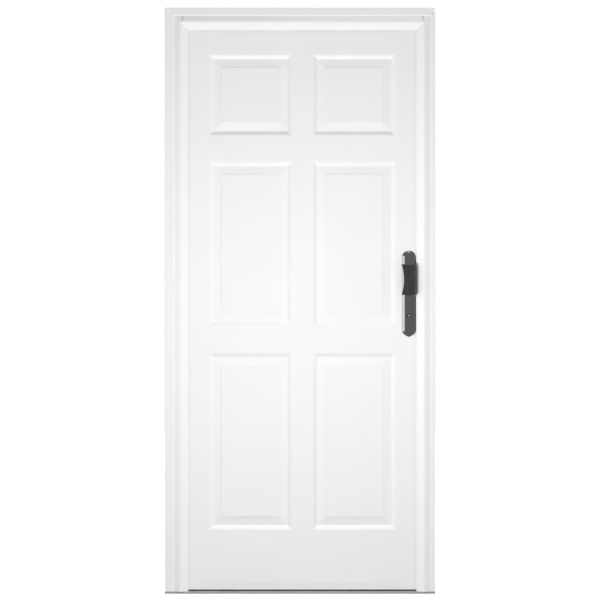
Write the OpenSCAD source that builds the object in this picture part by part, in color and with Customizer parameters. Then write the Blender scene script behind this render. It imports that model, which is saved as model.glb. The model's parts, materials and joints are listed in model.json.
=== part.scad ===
// Panelled steel entrance door in its folded frame, millimetres.
// X runs right as seen from outside, +Y into the building, +Z up. The origin is the
// middle of the threshold's underside, which is the middle of the frame.

/* [Frame] */
// Overall width of the frame
frame_w = 950; // [850:1:1150]
// Overall height, threshold included
frame_h = 2057; // [1950:1:2300]
// Height of the threshold
sill_h = 7; // [6:1:15]
// Flat outer face of the hinge-side jamb
hinge_face_w = 31; // [26:1:60]
// Flat outer face of the lock-side jamb
lock_face_w = 14.5; // [10:0.5:60]
// Flat outer face of the head
head_face_w = 26; // [20:1:60]
// Outer flank of the frame moulding, from its groove to its crest
flank_w = 23; // [18:1:30]
// Inner slope of the frame moulding, from its crest to the leaf
nose_w = 28; // [22:1:40]
// How far the crest stands in front of the flat face
crest_h = 3; // [1:0.5:6]
// Depth of the groove beside the flat face, from the crest
groove_depth = 8; // [6:0.5:10]
// Depth at which the inner slope ends, from the crest
nose_drop = 12; // [9:0.5:14]
// Depth of the stop that the seals sit on, from the crest
stop_depth = 17; // [16:1:30]
// Sheet thickness of the frame
frame_sheet = 1.2; // [1:0.1:2]
// Radius of the wall fixing holes
fixing_r = 5.2; // [3:0.1:6]
// Height of the lowest wall fixing above the floor
fixing_low = 250; // [180:1:350]

/* [Leaf] */
// Thickness of the leaf
leaf_t = 50; // [45:1:60]
// How far the frame's stop covers the edge of the leaf
stop_cover = 10.5; // [8:0.5:16]
// Running gap round the leaf
leaf_gap = 4; // [4:0.5:6]
// Space between stop and leaf that the seal fills
seal_space = 5; // [4:0.5:8]
// Gap under the leaf
floor_gap = 3; // [3:0.5:6]
// Sheet thickness of the two skins
skin_t = 0.8; // [0.6:0.1:1.2]
// Depth of the skins' folded edges
skin_fold = 12; // [8:1:18]
// Sheet thickness of the edge channels
channel_t = 1; // [0.8:0.1:1.5]
// Flange length of the edge channels
channel_flange = 34; // [32:1:50]

/* [Panels] */
// Width of each upright edge member, to the panels
stile_w = 82; // [78:1:140]
// Width of the upright between the two panel columns
mullion_w = 73; // [50:1:120]
// Height of the top rail
top_rail = 94; // [70:1:150]
// Height of the rail between top and middle panels
upper_rail = 91; // [60:1:140]
// Height of the rail at the lock
lock_rail = 93; // [60:1:140]
// Height of the bottom rail
bottom_rail = 211; // [120:1:260]
// Share of the panel height that the top panels take
top_share = 0.192; // [0.15:0.001:0.3]
// Share of the panel height that the middle panels take
middle_share = 0.389; // [0.3:0.001:0.45]
// Deepest point of the pressed moulding
press_depth = 8; // [4:0.5:10]
// Width of the outer pressed slope
press_outer_w = 15; // [10:1:20]
// Width of the pressed valley
press_valley_w = 4; // [2:1:8]
// Width of the inner pressed slope up to the field
press_inner_w = 27; // [20:1:34]
// Depth at which the raised field lies below the face
field_depth = 2; // [0:0.5:4]

/* [Handle plates] */
// Width of the plates
plate_w = 49; // [40:1:52]
// Height of the plates' top above the floor
plate_top = 1205; // [1190:1:1260]
// Height of the plates' bottom above the floor
plate_bottom = 901; // [880:1:912]
// Thickness of the plates
plate_t = 8; // [7:0.5:10]
// Width of the plates' bevelled edge
plate_bevel = 3; // [1:0.5:4]
// Gap between the frame's stop and the plates
plate_clear = 1.5; // [1.5:0.5:10]
// Height of the keyhole above the floor
key_z = 977; // [975:1:985]
// Top of the pull grip above the floor
grip_top = 1156; // [1145:1:1165]
// Height of the pull grip
grip_h = 107; // [90:1:110]
// Width of the pull grip
grip_w = 50; // [44:1:56]
// Depth of the pull grip, from the plate
grip_d = 42; // [36:1:50]
// Wall thickness of the pull grip
grip_wall = 7; // [5:0.5:9]

/* [Lock] */
// How far the lock case reaches behind the keyhole
case_reach = 25.5; // [25:0.5:40]
// Height of the lock case
case_h = 170; // [165:1:185]
// Thickness of the lock case
case_t = 19; // [19:0.5:24]
// Wall thickness of the lock case
case_wall = 1.5; // [1:0.25:2]
// Thickness of the faceplate
faceplate_t = 2.5; // [2:0.5:3]
// Width of the faceplate
faceplate_w = 24; // [22:1:30]
// How far the deadbolt is thrown
throw = 20; // [14:1:22]
// Height of the deadbolt
bolt_h = 26; // [20:1:28]
// Thickness of the deadbolt
bolt_t = 12; // [9:0.5:12]
// Radius of the catch roller
roller_r = 7; // [6:0.5:7.5]
// How far the catch roller reaches into the strike
roller_bite = 1.5; // [1:0.5:3]
// Thickness of the strike plate
strike_t = 1.5; // [1:0.25:2]

/* [Hinges] */
// Height of each hinge
hinge_h = 100; // [80:1:130]
// Radius of the hinge knuckles
knuckle_r = 6.5; // [5.5:0.5:8]
// Radius of the hinge pins
pin_r = 3; // [2.5:0.25:4]
// Thickness of the hinge plates
hinge_t = 3; // [2:0.5:3.5]
// Width of each hinge plate from the pin's axis
hinge_w = 38; // [36:1:44]
// Height of the lowest hinge's middle above the floor
hinge_low = 230; // [180:1:320]
// Distance of the top hinge's middle below the leaf's top
hinge_drop = 215; // [180:1:320]

/* [Hidden] */
$fn = 48;

white = "white";
dark = "#3b3b3e";
steel = "silver";
zinc = "#b9bcc0";
rubber = "#2b2b2b";

// Reach of a cut beyond the faces that it opens
over = 1;
// Clearance of a screw in its hole
screw_fit = 0.1;
// Running clearance of a turning shaft
run_fit = 0.06;
// Clearance of a sliding piece
slide_fit = 0.3;

// Frame, from the outside in
frame_depth = stop_depth + seal_space + leaf_t;
front_y = -frame_depth / 2;
back_y = frame_depth / 2;
moulding_w = flank_w + nose_w;
hinge_cover = hinge_face_w + moulding_w;
lock_cover_w = lock_face_w + moulding_w;
head_cover = head_face_w + moulding_w;
opening_left = -frame_w / 2 + hinge_cover;
opening_right = frame_w / 2 - lock_cover_w;
opening_top = frame_h - head_cover;
rebate_left = opening_left - stop_cover - leaf_gap;
rebate_right = opening_right + stop_cover + leaf_gap;
rebate_top = opening_top + stop_cover + leaf_gap;
back_flange_inset = 6;
return_lip = 14;

// Leaf
leaf_left = rebate_left + leaf_gap;
leaf_right = rebate_right - leaf_gap;
leaf_top = rebate_top - leaf_gap;
leaf_bottom = sill_h + floor_gap;
leaf_w = leaf_right - leaf_left;
leaf_h = leaf_top - leaf_bottom;
leaf_front = back_y - leaf_t;
leaf_mid_y = back_y - leaf_t / 2;
leaf_fit = 0.3;

channel_low = leaf_bottom + skin_t + channel_t;
channel_high = leaf_top - skin_t - channel_t;

// Seals, on the stop in front of the leaf
seal_w = 8;
seal_t = seal_space - leaf_fit;
seal_y = front_y + stop_depth;

// Panels: two columns and three rows
panel_w = (leaf_w - 2 * stile_w - mullion_w) / 2;
panel_cols = [
    leaf_left + stile_w + panel_w / 2,
    leaf_right - stile_w - panel_w / 2
];
panels_h = leaf_h - top_rail - upper_rail - lock_rail - bottom_rail;
top_panel_h = panels_h * top_share;
middle_panel_h = panels_h * middle_share;
bottom_panel_h = panels_h - top_panel_h - middle_panel_h;
bottom_panel_z = leaf_bottom + bottom_rail;
middle_panel_z = bottom_panel_z + bottom_panel_h + lock_rail;
top_panel_z = middle_panel_z + middle_panel_h + upper_rail;
// Each row is [bottom, height]
panel_rows = [
    [bottom_panel_z, bottom_panel_h],
    [middle_panel_z, middle_panel_h],
    [top_panel_z, top_panel_h]
];
// Pressed moulding as [distance in from the panel's edge, depth]
press_profile = [
    [0, 0],
    [press_outer_w * 0.25, press_depth * 0.1],
    [press_outer_w, press_depth],
    [press_outer_w + press_valley_w, press_depth],
    [press_outer_w + press_valley_w + press_inner_w, field_depth]
];

// Handle plates
plate_x = opening_right - plate_clear - plate_w / 2;
key_x = plate_x;
plate_fixing_inset = 17;
plate_fixings = [plate_bottom + plate_fixing_inset, plate_top - plate_fixing_inset];
bolt_r = 3;
bolt_head_r = 5;
bolt_head_t = 1.6;
slot_w = 14;
slot_h = 6;
grip_z = grip_top - grip_h;
grip_foot = 24;
grip_screw_r = 2.5;
grip_screw_zs = [grip_z + 22, grip_top - 22];

// Lock, along X from the leaf's lock edge
web_out = leaf_right - skin_t;
web_in = web_out - channel_t;
faceplate_out = web_in + faceplate_t;
case_right = web_in;
case_left = key_x - case_reach;
case_z = key_z - 42;
case_front_y = leaf_mid_y - case_t / 2;
case_back_y = leaf_mid_y + case_t / 2;
faceplate_margin = 20;
faceplate_z = case_z - faceplate_margin;
faceplate_h = case_h + 2 * faceplate_margin;
strike_face = rebate_right - strike_t;
reinforcement_t = 2;
reinforcement_margin = 45;

// Euro-profile cylinder and its cam
cylinder_r = 8.5;
cylinder_web_w = 10;
cylinder_web_h = 33;
plug_r = 6.5;
spindle_r = 4;
cam_front = leaf_mid_y - 2;
cam_t = 5;
cam_gap = 0.3;
cam_hub_r = 8;
cam_pin_r = 2.5;
cam_swing = 45;
cam_arm = throw / 2 / sin(cam_swing);
cylinder_inset = 4.7;
cylinder_front = leaf_front - cylinder_inset;
cylinder_back = back_y + cylinder_inset;

// Deadbolt, withdrawn at rest with its head flush in the faceplate
bolt_z = key_z + 2;
bolt_head_l = 25;
bolt_head_left = faceplate_out - bolt_head_l;
tail_t = 3;
tail_front = leaf_mid_y - bolt_t / 2;
tail_z = key_z + cylinder_r + 1;
tail_left = case_left + case_wall + 2;
guide_r = 3;
guide_slot_fit = 0.4;
guide_x = tail_left + 8;
guide_z = bolt_z + bolt_h - 6;
pin_slot_fit = 0.7;

// Roller catch
roller_z = case_z + case_h - 38;
roller_h = 14;
roller_x = strike_face + roller_bite - roller_r;
roller_pin_r = 2;
fork_t = 3;
fork_w = 10;
block_w = 12;
block_l = 20;
block_right = roller_x - roller_r - 1;
block_left = block_right - block_l;
fork_h = roller_h + 2 * slide_fit + 2 * fork_t;
stem_r = 3;
latch_travel = 5;
spring_r = 5;
spring_wire = 1.2;
spring_turns = 6;
spring_l = 16;
spring_guide_t = 3;
stem_l = spring_l + spring_guide_t + 2;

// Faceplate, strike and screws
faceplate_screw_r = 2.2;
cylinder_screw_z = key_z - 17;
cylinder_screw_r = 2.5;
strike_margin = 8;
strike_screw_r = 2.2;
window_fit = 1.2;
roller_play = 1.9;
roller_window_half = sqrt(pow(roller_r, 2) - pow(strike_face - roller_x, 2)) + roller_play;
box_wall = 1;
box_deep = throw + 3;

// Turn on the room side
knob_gap = 0.5;
knob_l = 18;

// Hinges
axis_x = (rebate_left + leaf_left) / 2;
axis_y = back_y + knuckle_r + 0.5;
knuckle_gap = 0.3;
knuckle_h = (hinge_h - 2 * knuckle_gap) / 3;
plate_start = knuckle_r - 0.7;
hinge_top = leaf_top - hinge_drop;
hinge_zs = [hinge_low, (hinge_low + hinge_top) / 2, hinge_top];
hinge_screw_r = 2.4;
hinge_screw_l = 10;
hinge_head_r = 4;
hinge_head_t = 1.8;
hinge_screw_xs = [14, 28];
hinge_screw_z = hinge_h / 2 - 18;
pin_cap_r = 4.6;
pin_cap_t = 2.5;

// The grip stands far enough from the stop to swing past it: a point that lies q in
// front of the hinge axis moves out by (q * q - s * s) / 2R by the time it reaches s
grip_reach = axis_y - leaf_front + plate_t + grip_d;
stop_reach = axis_y - front_y - stop_depth;
grip_clear = (pow(grip_reach, 2) - pow(stop_reach, 2)) / (2 * (opening_right - axis_x)) + 0.8;
grip_x = opening_right - grip_clear - grip_w;
grip_screw_x = grip_x + grip_w - 9 - grip_foot / 2;

// ---- Plane geometry ----

// Direction of a vector
function unit(v) = v / norm(v);

// A quarter turn anticlockwise
function left_of(v) = [-v[1], v[0]];

// Point moved off the corner b of a path a-b-c so that both edges move by t
function mitre(a, b, c, t) =
    let (n1 = left_of(unit(b - a)), n2 = left_of(unit(c - b)))
    b + t * (n1 + n2) / (1 + n1 * n2);

// A path moved sideways by t, with mitred corners
function beside(p, t) =
    let (last = len(p) - 1)
    [for (i = [0 : last])
        i == 0 ? p[0] + t * left_of(unit(p[1] - p[0])) :
        i == last ? p[last] + t * left_of(unit(p[last] - p[last - 1])) :
        mitre(p[i - 1], p[i], p[i + 1], t)];

function reversed(p) = [for (i = [len(p) - 1 : -1 : 0]) p[i]];

// Outline of a folded sheet of thickness t whose visible side follows the path
function folded(path, t) = concat(path, reversed(beside(path, t)));

// Quarter of an ellipse from its side to its end, in steps
function quarter(cx, cy, rx, ry, from, to, steps) =
    [for (i = [0 : steps]) let (a = from + (to - from) * i / steps)
        [cx + rx * cos(a), cy + ry * sin(a)]];

// Visible side of the frame's section: across the face, then into the depth
function frame_path(face_w) =
    let (groove = face_w, crest = face_w + flank_w, end = face_w + moulding_w)
    concat(
        [[0, crest_h + return_lip], [0, crest_h], [groove, crest_h]],
        quarter(crest, groove_depth, flank_w - 1, groove_depth, 180, 270, 6),
        quarter(crest, nose_drop, nose_w, nose_drop, 276, 354, 6),
        [
            [end, nose_drop + 1],
            [end, stop_depth],
            [end - stop_cover - leaf_gap, stop_depth],
            [end - stop_cover - leaf_gap, frame_depth],
            [back_flange_inset, frame_depth],
            [back_flange_inset, frame_depth - return_lip]
        ]
    );

// Outline of a handle plate: round top, gently pointed bottom
function plate_outline(w, low, high) =
    concat(
        [for (a = [0 : 7.5 : 180]) [w / 2 * cos(a), high - w / 2 + w / 2 * sin(a)]],
        [for (a = [180 : 7.5 : 262.5])
            [w / 2 * cos(a), low + w * 0.56 + w * 0.56 * sin(a)]],
        [[0, low]],
        [for (a = [277.5 : 7.5 : 360])
            [w / 2 * cos(a), low + w * 0.56 + w * 0.56 * sin(a)]]
    );

// ---- Helpers ----

// Box from one corner to the opposite one
module box(low, high) {
    translate(low) cube(high - low);
}

// Cylinder along Y from y0 to y1
module bar_y(x, z, r, y0, y1) {
    translate([x, y0, z]) rotate([-90, 0, 0]) cylinder(r = r, h = y1 - y0);
}

// Cylinder along X from x0 to x1
module bar_x(x0, x1, y, z, r) {
    translate([x0, y, z]) rotate([0, 90, 0]) cylinder(r = r, h = x1 - x0);
}

// Cylinder along Z from z0 to z1
module bar_z(x, y, r, z0, z1) {
    translate([x, y, z0]) cylinder(r = r, h = z1 - z0);
}

// Outline in the XZ plane made solid from y0 to y1
module plate_xz(points, y0, y1) {
    translate([0, y1, 0]) rotate([90, 0, 0]) linear_extrude(y1 - y0) polygon(points);
}

// ---- Frame ----

module frame_section(face_w) {
    polygon(folded(frame_path(face_w), frame_sheet));
}

// Everything beyond the mitre through an opening's top corner, on the head's side
module head_side(x, side) {
    reach = head_cover + 50;
    plate_xz([
        [x - side * 50, opening_top - 50],
        [x + side * reach, opening_top + reach],
        [x - side * frame_w, opening_top + reach],
        [x - side * frame_w, opening_top - 50]
    ], front_y - over, back_y + over);
}

// Wall fixing holes through one rebate face
module fixing_holes(x) {
    for (i = [0 : 3])
        bar_x(x - 5, x + 5, leaf_mid_y, fixing_low + i * fixing_step(), fixing_r);
}

function fixing_step() = (frame_h - 2 * fixing_low) / 3;

module hinge_jamb() {
    color(white)
    difference() {
        translate([-frame_w / 2, front_y, sill_h])
            linear_extrude(frame_h - sill_h) frame_section(hinge_face_w);
        head_side(opening_left, -1);
        fixing_holes(rebate_left);
        hinge_holes(-1, hinge_screw_r + screw_fit);
    }
}

module lock_jamb() {
    color(white)
    difference() {
        translate([frame_w / 2, front_y, sill_h])
            mirror([1, 0, 0]) linear_extrude(frame_h - sill_h) frame_section(lock_face_w);
        head_side(opening_right, 1);
        fixing_holes(rebate_right);
        strike_windows(rebate_right - over, rebate_right + frame_sheet + over, 1);
        strike_screw_holes(strike_screw_r + screw_fit);
    }
}

module frame_head() {
    color(white)
    difference() {
        intersection() {
            translate([-frame_w / 2, front_y, frame_h])
                rotate([0, 90, 0]) linear_extrude(frame_w) frame_section(head_face_w);
            head_side(opening_left, -1);
            head_side(opening_right, 1);
        }
        corner_slit(opening_left - nose_w, 1);
        corner_slit(opening_right + nose_w, -1);
    }
}

// Narrow relief slit at the top of the crest, beside a mitred corner
module corner_slit(x, side) {
    slit_w = 3;
    slit_l = 20;
    translate([x + side * 4, front_y - over, opening_top + nose_w + 2])
        rotate([0, side * 14, 0]) cube([slit_w, groove_depth + 4, slit_l]);
}

// Extruded threshold with three shallow grip grooves in its top
module sill() {
    groove_w = 4;
    color(zinc)
    difference() {
        translate([-frame_w / 2, 0, 0])
        rotate([90, 0, 90])
        linear_extrude(frame_w)
        polygon([
            [front_y, 0], [back_y, 0], [back_y, sill_h], [front_y + 5, sill_h],
            [front_y, sill_h - 2.5]
        ]);
        for (y = [-8, 4, 16])
            box([opening_left, y, sill_h - 1.2], [opening_right, y + groove_w, sill_h + over]);
    }
}

// ---- Seals, on the stop in front of the leaf ----

module hinge_seal() {
    x = opening_left - 1;
    color(rubber)
        box([x - seal_w, seal_y, sill_h], [x, seal_y + seal_t, opening_top]);
}

module lock_seal() {
    x = opening_right + 1;
    color(rubber)
        box([x, seal_y, sill_h], [x + seal_w, seal_y + seal_t, opening_top]);
}

module head_seal() {
    z = opening_top + 1;
    color(rubber)
    box([opening_left - seal_w - 1, seal_y, z],
        [opening_right + seal_w + 1, seal_y + seal_t, z + seal_w]);
}

// ---- Strike ----

// The roller's and the deadbolt's windows, from x0 to x1, larger by extra
module strike_windows(x0, x1, extra) {
    box([x0, leaf_mid_y - roller_window_half - extra, roller_z - roller_h / 2 - window_fit - extra],
        [x1, leaf_mid_y + roller_window_half + extra, roller_z + roller_h / 2 + window_fit + extra]);
    box([x0, leaf_mid_y - bolt_t / 2 - window_fit - extra, bolt_z - window_fit - extra],
        [x1, leaf_mid_y + bolt_t / 2 + window_fit + extra, bolt_z + bolt_h + window_fit + extra]);
}

function strike_screw_zs() =
    [faceplate_z + strike_margin, faceplate_z + faceplate_h - strike_margin];

module strike_screw_holes(r) {
    for (z = strike_screw_zs())
        bar_x(strike_face - over, rebate_right + 8, leaf_mid_y, z, r);
}

module strike_plate() {
    color(zinc)
    difference() {
        box([strike_face, leaf_mid_y - faceplate_w / 2, faceplate_z],
            [rebate_right, leaf_mid_y + faceplate_w / 2, faceplate_z + faceplate_h]);
        strike_windows(strike_face - over, rebate_right + over, 0);
        strike_screw_holes(strike_screw_r + screw_fit);
    }
}

// Drawn cup behind the deadbolt's window
module strike_box() {
    x0 = rebate_right + frame_sheet;
    half = bolt_t / 2 + window_fit + 1;
    low = bolt_z - window_fit - 1;
    high = bolt_z + bolt_h + window_fit + 1;
    color(zinc)
    difference() {
        box([x0, leaf_mid_y - half - box_wall, low - box_wall],
            [x0 + box_deep + box_wall, leaf_mid_y + half + box_wall, high + box_wall]);
        box([x0 - over, leaf_mid_y - half, low], [x0 + box_deep, leaf_mid_y + half, high]);
    }
}

module strike_screws() {
    head_t = 0.9;
    color(steel)
    for (z = strike_screw_zs()) {
        bar_x(strike_face, rebate_right + 7, leaf_mid_y, z, strike_screw_r);
        bar_x(strike_face - head_t, strike_face, leaf_mid_y, z, strike_screw_r + 1.6);
    }
}

// ---- Hinges ----

// Screw places of all three hinges on one side, -1 for the frame and 1 for the leaf
module hinge_screw_places(side) {
    for (z = hinge_zs)
        for (dz = [-hinge_screw_z, hinge_screw_z])
            for (dx = hinge_screw_xs)
                translate([axis_x + side * dx, back_y, z + dz]) children();
}

module hinge_holes(side, r) {
    hinge_screw_places(side)
        bar_y(0, 0, r, -hinge_screw_l - over, hinge_t + over);
}

module hinge_screws(side) {
    color(steel)
    hinge_screw_places(side) {
        bar_y(0, 0, hinge_screw_r, -hinge_screw_l, hinge_t);
        bar_y(0, 0, hinge_head_r, hinge_t, hinge_t + hinge_head_t);
    }
}

// One hinge half round its own middle: a plate, and its knuckles joined to it by tongues
module hinge_half(side, spans, bore) {
    difference() {
        union() {
            box([min(side * plate_start, side * hinge_w), back_y - axis_y, -hinge_h / 2],
                [max(side * plate_start, side * hinge_w), back_y - axis_y + hinge_t, hinge_h / 2]);
            for (s = spans) {
                bar_z(0, 0, knuckle_r, s[0], s[1]);
                box([min(0, side * plate_start), back_y - axis_y, s[0]],
                    [max(0, side * plate_start), back_y - axis_y + hinge_t, s[1]]);
            }
        }
        bar_z(0, 0, bore, -hinge_h / 2 - over, hinge_h / 2 + over);
        for (dz = [-hinge_screw_z, hinge_screw_z])
            for (dx = hinge_screw_xs)
                bar_y(side * dx, dz, hinge_screw_r + screw_fit, back_y - axis_y - over,
                    back_y - axis_y + hinge_t + over);
    }
}

module hinge_frame(i) {
    half = hinge_h / 2;
    color(zinc)
    translate([axis_x, axis_y, hinge_zs[i]])
        hinge_half(-1, [[-half, -half + knuckle_h], [half - knuckle_h, half]],
            pin_r + run_fit / 2);
}

module hinge_leaf(i) {
    color(zinc)
    translate([axis_x, axis_y, hinge_zs[i]])
        hinge_half(1, [[-knuckle_h / 2, knuckle_h / 2]], pin_r + run_fit);
}

module hinge_pin(i) {
    low = hinge_zs[i] - hinge_h / 2;
    high = hinge_zs[i] + hinge_h / 2;
    color(steel) {
        bar_z(axis_x, axis_y, pin_r, low - pin_cap_t, high + pin_cap_t);
        bar_z(axis_x, axis_y, pin_cap_r, low - pin_cap_t, low);
        bar_z(axis_x, axis_y, pin_cap_r, high, high + pin_cap_t);
    }
}

// ---- Leaf ----

// Closed solid of one pressed recess: mitred rings of the profile, sunk along +Y by shift
module panel_recess(x, z, w, h, shift) {
    rings = concat([[0, -over - shift]], press_profile);
    corners = [[-1, -1], [1, -1], [1, 1], [-1, 1]];
    points = [for (r = rings) for (c = corners)
        [x + c[0] * (w / 2 - r[0]), r[1] + shift, z + h / 2 + c[1] * (h / 2 - r[0])]];
    last = 4 * (len(rings) - 1);
    sides = [for (i = [0 : len(rings) - 2]) for (k = [0 : 3])
        [4 * i + k, 4 * i + (k + 1) % 4, 4 * i + 4 + (k + 1) % 4, 4 * i + 4 + k]];
    polyhedron(points, concat([[3, 2, 1, 0]], sides, [[last, last + 1, last + 2, last + 3]]));
}

// All six recesses on the outer face, moved in by shift
module recesses(shift) {
    for (x = panel_cols)
        for (row = panel_rows)
            panel_recess(x, row[0], panel_w, row[1], shift);
}

// A skin before its holes, with its face at y = 0: a folded pan with pressed panels.
// The hollow behind it is cut back from the recesses moved in by the sheet.
module skin_pan() {
    difference() {
        box([leaf_left, 0, leaf_bottom], [leaf_right, skin_fold, leaf_top]);
        recesses(0);
        difference() {
            box([leaf_left + skin_t, skin_t, leaf_bottom + skin_t],
                [leaf_right - skin_t, skin_fold + over, leaf_top - skin_t]);
            recesses(skin_t);
        }
    }
}

module outer_skin() {
    color(white)
    difference() {
        translate([0, leaf_front, 0]) skin_pan();
        plate_bolt_holes();
        cylinder_hole(leaf_front - over, leaf_front + skin_fold);
        faceplate_recess();
    }
}

module inner_skin() {
    color(white)
    difference() {
        translate([0, back_y, 0]) mirror([0, 1, 0]) skin_pan();
        plate_bolt_holes();
        cylinder_hole(back_y - skin_fold, back_y + over);
        hinge_holes(1, hinge_screw_r + screw_fit);
        faceplate_recess();
    }
}

// Edge channel between the skins: web towards the edge, flanges inwards
module channel_section(open) {
    y0 = leaf_front + skin_t;
    y1 = back_y - skin_t;
    difference() {
        translate([min(0, open * channel_flange), y0]) square([channel_flange, y1 - y0]);
        translate([min(open * channel_t, open * (channel_flange + over)), y0 + channel_t])
            square([channel_flange + over - channel_t, y1 - y0 - 2 * channel_t]);
    }
}

module hinge_edge_channel() {
    color(zinc)
    difference() {
        translate([leaf_left + skin_t, 0, channel_low])
            linear_extrude(channel_high - channel_low) channel_section(1);
        hinge_holes(1, hinge_screw_r + screw_fit);
    }
}

module lock_edge_channel() {
    color(zinc)
    difference() {
        translate([web_out, 0, channel_low])
            linear_extrude(channel_high - channel_low) channel_section(-1);
        faceplate_recess();
        plate_bolt_holes();
        cylinder_hole(leaf_front, back_y);
    }
}

// Channel along the top or bottom edge, set in between the upright ones
module end_channel(z, open) {
    x0 = leaf_left + skin_t + channel_flange + leaf_fit;
    x1 = web_out - channel_flange - leaf_fit;
    color(zinc)
    translate([x0, 0, z])
        rotate([0, -90, 0]) mirror([0, 0, 1]) linear_extrude(x1 - x0) channel_section(open);
}

module top_channel() {
    end_channel(leaf_top - skin_t, -1);
}

module bottom_channel() {
    end_channel(leaf_bottom + skin_t, 1);
}

module foam_core() {
    x_in = skin_t + channel_flange + leaf_fit;
    x_web = skin_t + channel_t + leaf_fit;
    skin_in = skin_t + leaf_fit;
    flange_in = skin_t + channel_t + leaf_fit;
    color("#e8dcae")
    difference() {
        union() {
            box([leaf_left + x_in, leaf_front + skin_in, leaf_bottom + x_in],
                [leaf_right - x_in, back_y - skin_in, leaf_top - x_in]);
            box([leaf_left + x_web, leaf_front + flange_in, leaf_bottom + x_web],
                [leaf_right - x_web, back_y - flange_in, leaf_top - x_web]);
        }
        translate([0, leaf_front, 0]) recesses(skin_in);
        translate([0, back_y, 0]) mirror([0, 1, 0]) recesses(skin_in);
        plate_bolt_holes();
        cylinder_hole(leaf_front, back_y);
        hinge_holes(1, hinge_screw_r + screw_fit);
        box([case_left - leaf_fit, case_front_y - leaf_fit, case_z - leaf_fit],
            [leaf_right, case_back_y + leaf_fit, case_z + case_h + leaf_fit]);
        box([case_right - 8, leaf_front, case_z - reinforcement_margin - leaf_fit],
            [leaf_right, back_y, case_z + case_h + reinforcement_margin + leaf_fit]);
    }
}

module bottom_sweep() {
    sweep_w = 14;
    color(rubber)
    box([leaf_left + 6, leaf_mid_y - sweep_w / 2, sill_h + leaf_fit],
        [leaf_right - 6, leaf_mid_y + sweep_w / 2, leaf_bottom + skin_t]);
}

// ---- Lock edge ----

// Recess through skins' folds and channel web that the faceplate lies in
module faceplate_recess() {
    box([web_in - over / 2, leaf_mid_y - faceplate_w / 2 - leaf_fit, faceplate_z - leaf_fit],
        [leaf_right + over, leaf_mid_y + faceplate_w / 2 + leaf_fit,
            faceplate_z + faceplate_h + leaf_fit]);
}

module lock_reinforcement() {
    side_fit = skin_t + channel_t + leaf_fit;
    color(zinc)
    difference() {
        box([web_in - reinforcement_t, leaf_front + side_fit, case_z - reinforcement_margin],
            [web_in, back_y - side_fit, case_z + case_h + reinforcement_margin]);
        box([web_in - 10, case_front_y - leaf_fit, case_z - leaf_fit],
            [web_in + over, case_back_y + leaf_fit, case_z + case_h + leaf_fit]);
        faceplate_screw_places(faceplate_screw_r + screw_fit);
    }
}

module faceplate_screw_places(r) {
    for (z = [faceplate_z + 9, faceplate_z + faceplate_h - 9])
        bar_x(web_in - 5, faceplate_out + over, leaf_mid_y, z, r);
}

module lock_faceplate() {
    color(steel)
    difference() {
        box([web_in, leaf_mid_y - faceplate_w / 2, faceplate_z],
            [faceplate_out, leaf_mid_y + faceplate_w / 2, faceplate_z + faceplate_h]);
        roller_clearance();
        box([web_in - over, leaf_mid_y - bolt_t / 2 - slide_fit, bolt_z - slide_fit],
            [faceplate_out + over, leaf_mid_y + bolt_t / 2 + slide_fit,
                bolt_z + bolt_h + slide_fit]);
        faceplate_screw_places(faceplate_screw_r + screw_fit);
        bar_x(web_in - over, faceplate_out + over, leaf_mid_y, cylinder_screw_z,
            cylinder_screw_r + screw_fit);
    }
}

// Window that the roller and its fork move through
module roller_clearance() {
    half = roller_r + slide_fit;
    box([web_in - over, leaf_mid_y - half, roller_z - fork_h / 2 - slide_fit],
        [faceplate_out + over, leaf_mid_y + half, roller_z + fork_h / 2 + slide_fit]);
}

module faceplate_screws() {
    head_t = 1;
    color(steel)
    for (z = [faceplate_z + 9, faceplate_z + faceplate_h - 9]) {
        bar_x(web_in - 5, faceplate_out, leaf_mid_y, z, faceplate_screw_r);
        bar_x(faceplate_out, faceplate_out + 0.3, leaf_mid_y, z, faceplate_screw_r + 1.4);
    }
}

// Clear space inside the lock case
module case_space() {
    box([case_left + case_wall, case_front_y + case_wall, case_z + case_wall],
        [case_right + over, case_back_y + over, case_z + case_h - case_wall]);
}

module lock_case() {
    spring_seat = block_left - spring_l;
    color(zinc) {
        difference() {
            box([case_left, case_front_y, case_z],
                [case_right, case_back_y - case_wall, case_z + case_h]);
            case_space();
            cylinder_hole(case_front_y - over, case_back_y);
        }
        bar_y(guide_x, guide_z, guide_r, case_front_y + case_wall / 2, tail_front + tail_t + 1);
        difference() {
            box([spring_seat - spring_guide_t, case_front_y + case_wall / 2,
                    roller_z - fork_h / 2],
                [spring_seat, case_back_y - case_wall - leaf_fit, roller_z + fork_h / 2]);
            bar_x(spring_seat - spring_guide_t - over, spring_seat + over, leaf_mid_y, roller_z,
                stem_r + slide_fit);
        }
    }
}

module lock_cover() {
    color(zinc)
    difference() {
        box([case_left, case_back_y - case_wall, case_z],
            [case_right, case_back_y, case_z + case_h]);
        cylinder_hole(case_front_y, case_back_y + over);
    }
}

// ---- Cylinder, plug, turn and cam ----

// Round barrel with a web below it, grown by fit
module cylinder_profile(fit) {
    circle(cylinder_r + fit);
    translate([-cylinder_web_w / 2 - fit, -cylinder_web_h + cylinder_r - fit])
        square([cylinder_web_w + 2 * fit, cylinder_web_h - cylinder_r]);
}

module cylinder_shape(y0, y1, fit) {
    translate([key_x, y1, key_z])
        rotate([90, 0, 0]) linear_extrude(y1 - y0) cylinder_profile(fit);
}

module cylinder_hole(y0, y1) {
    cylinder_shape(y0, y1, leaf_fit);
}

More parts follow.
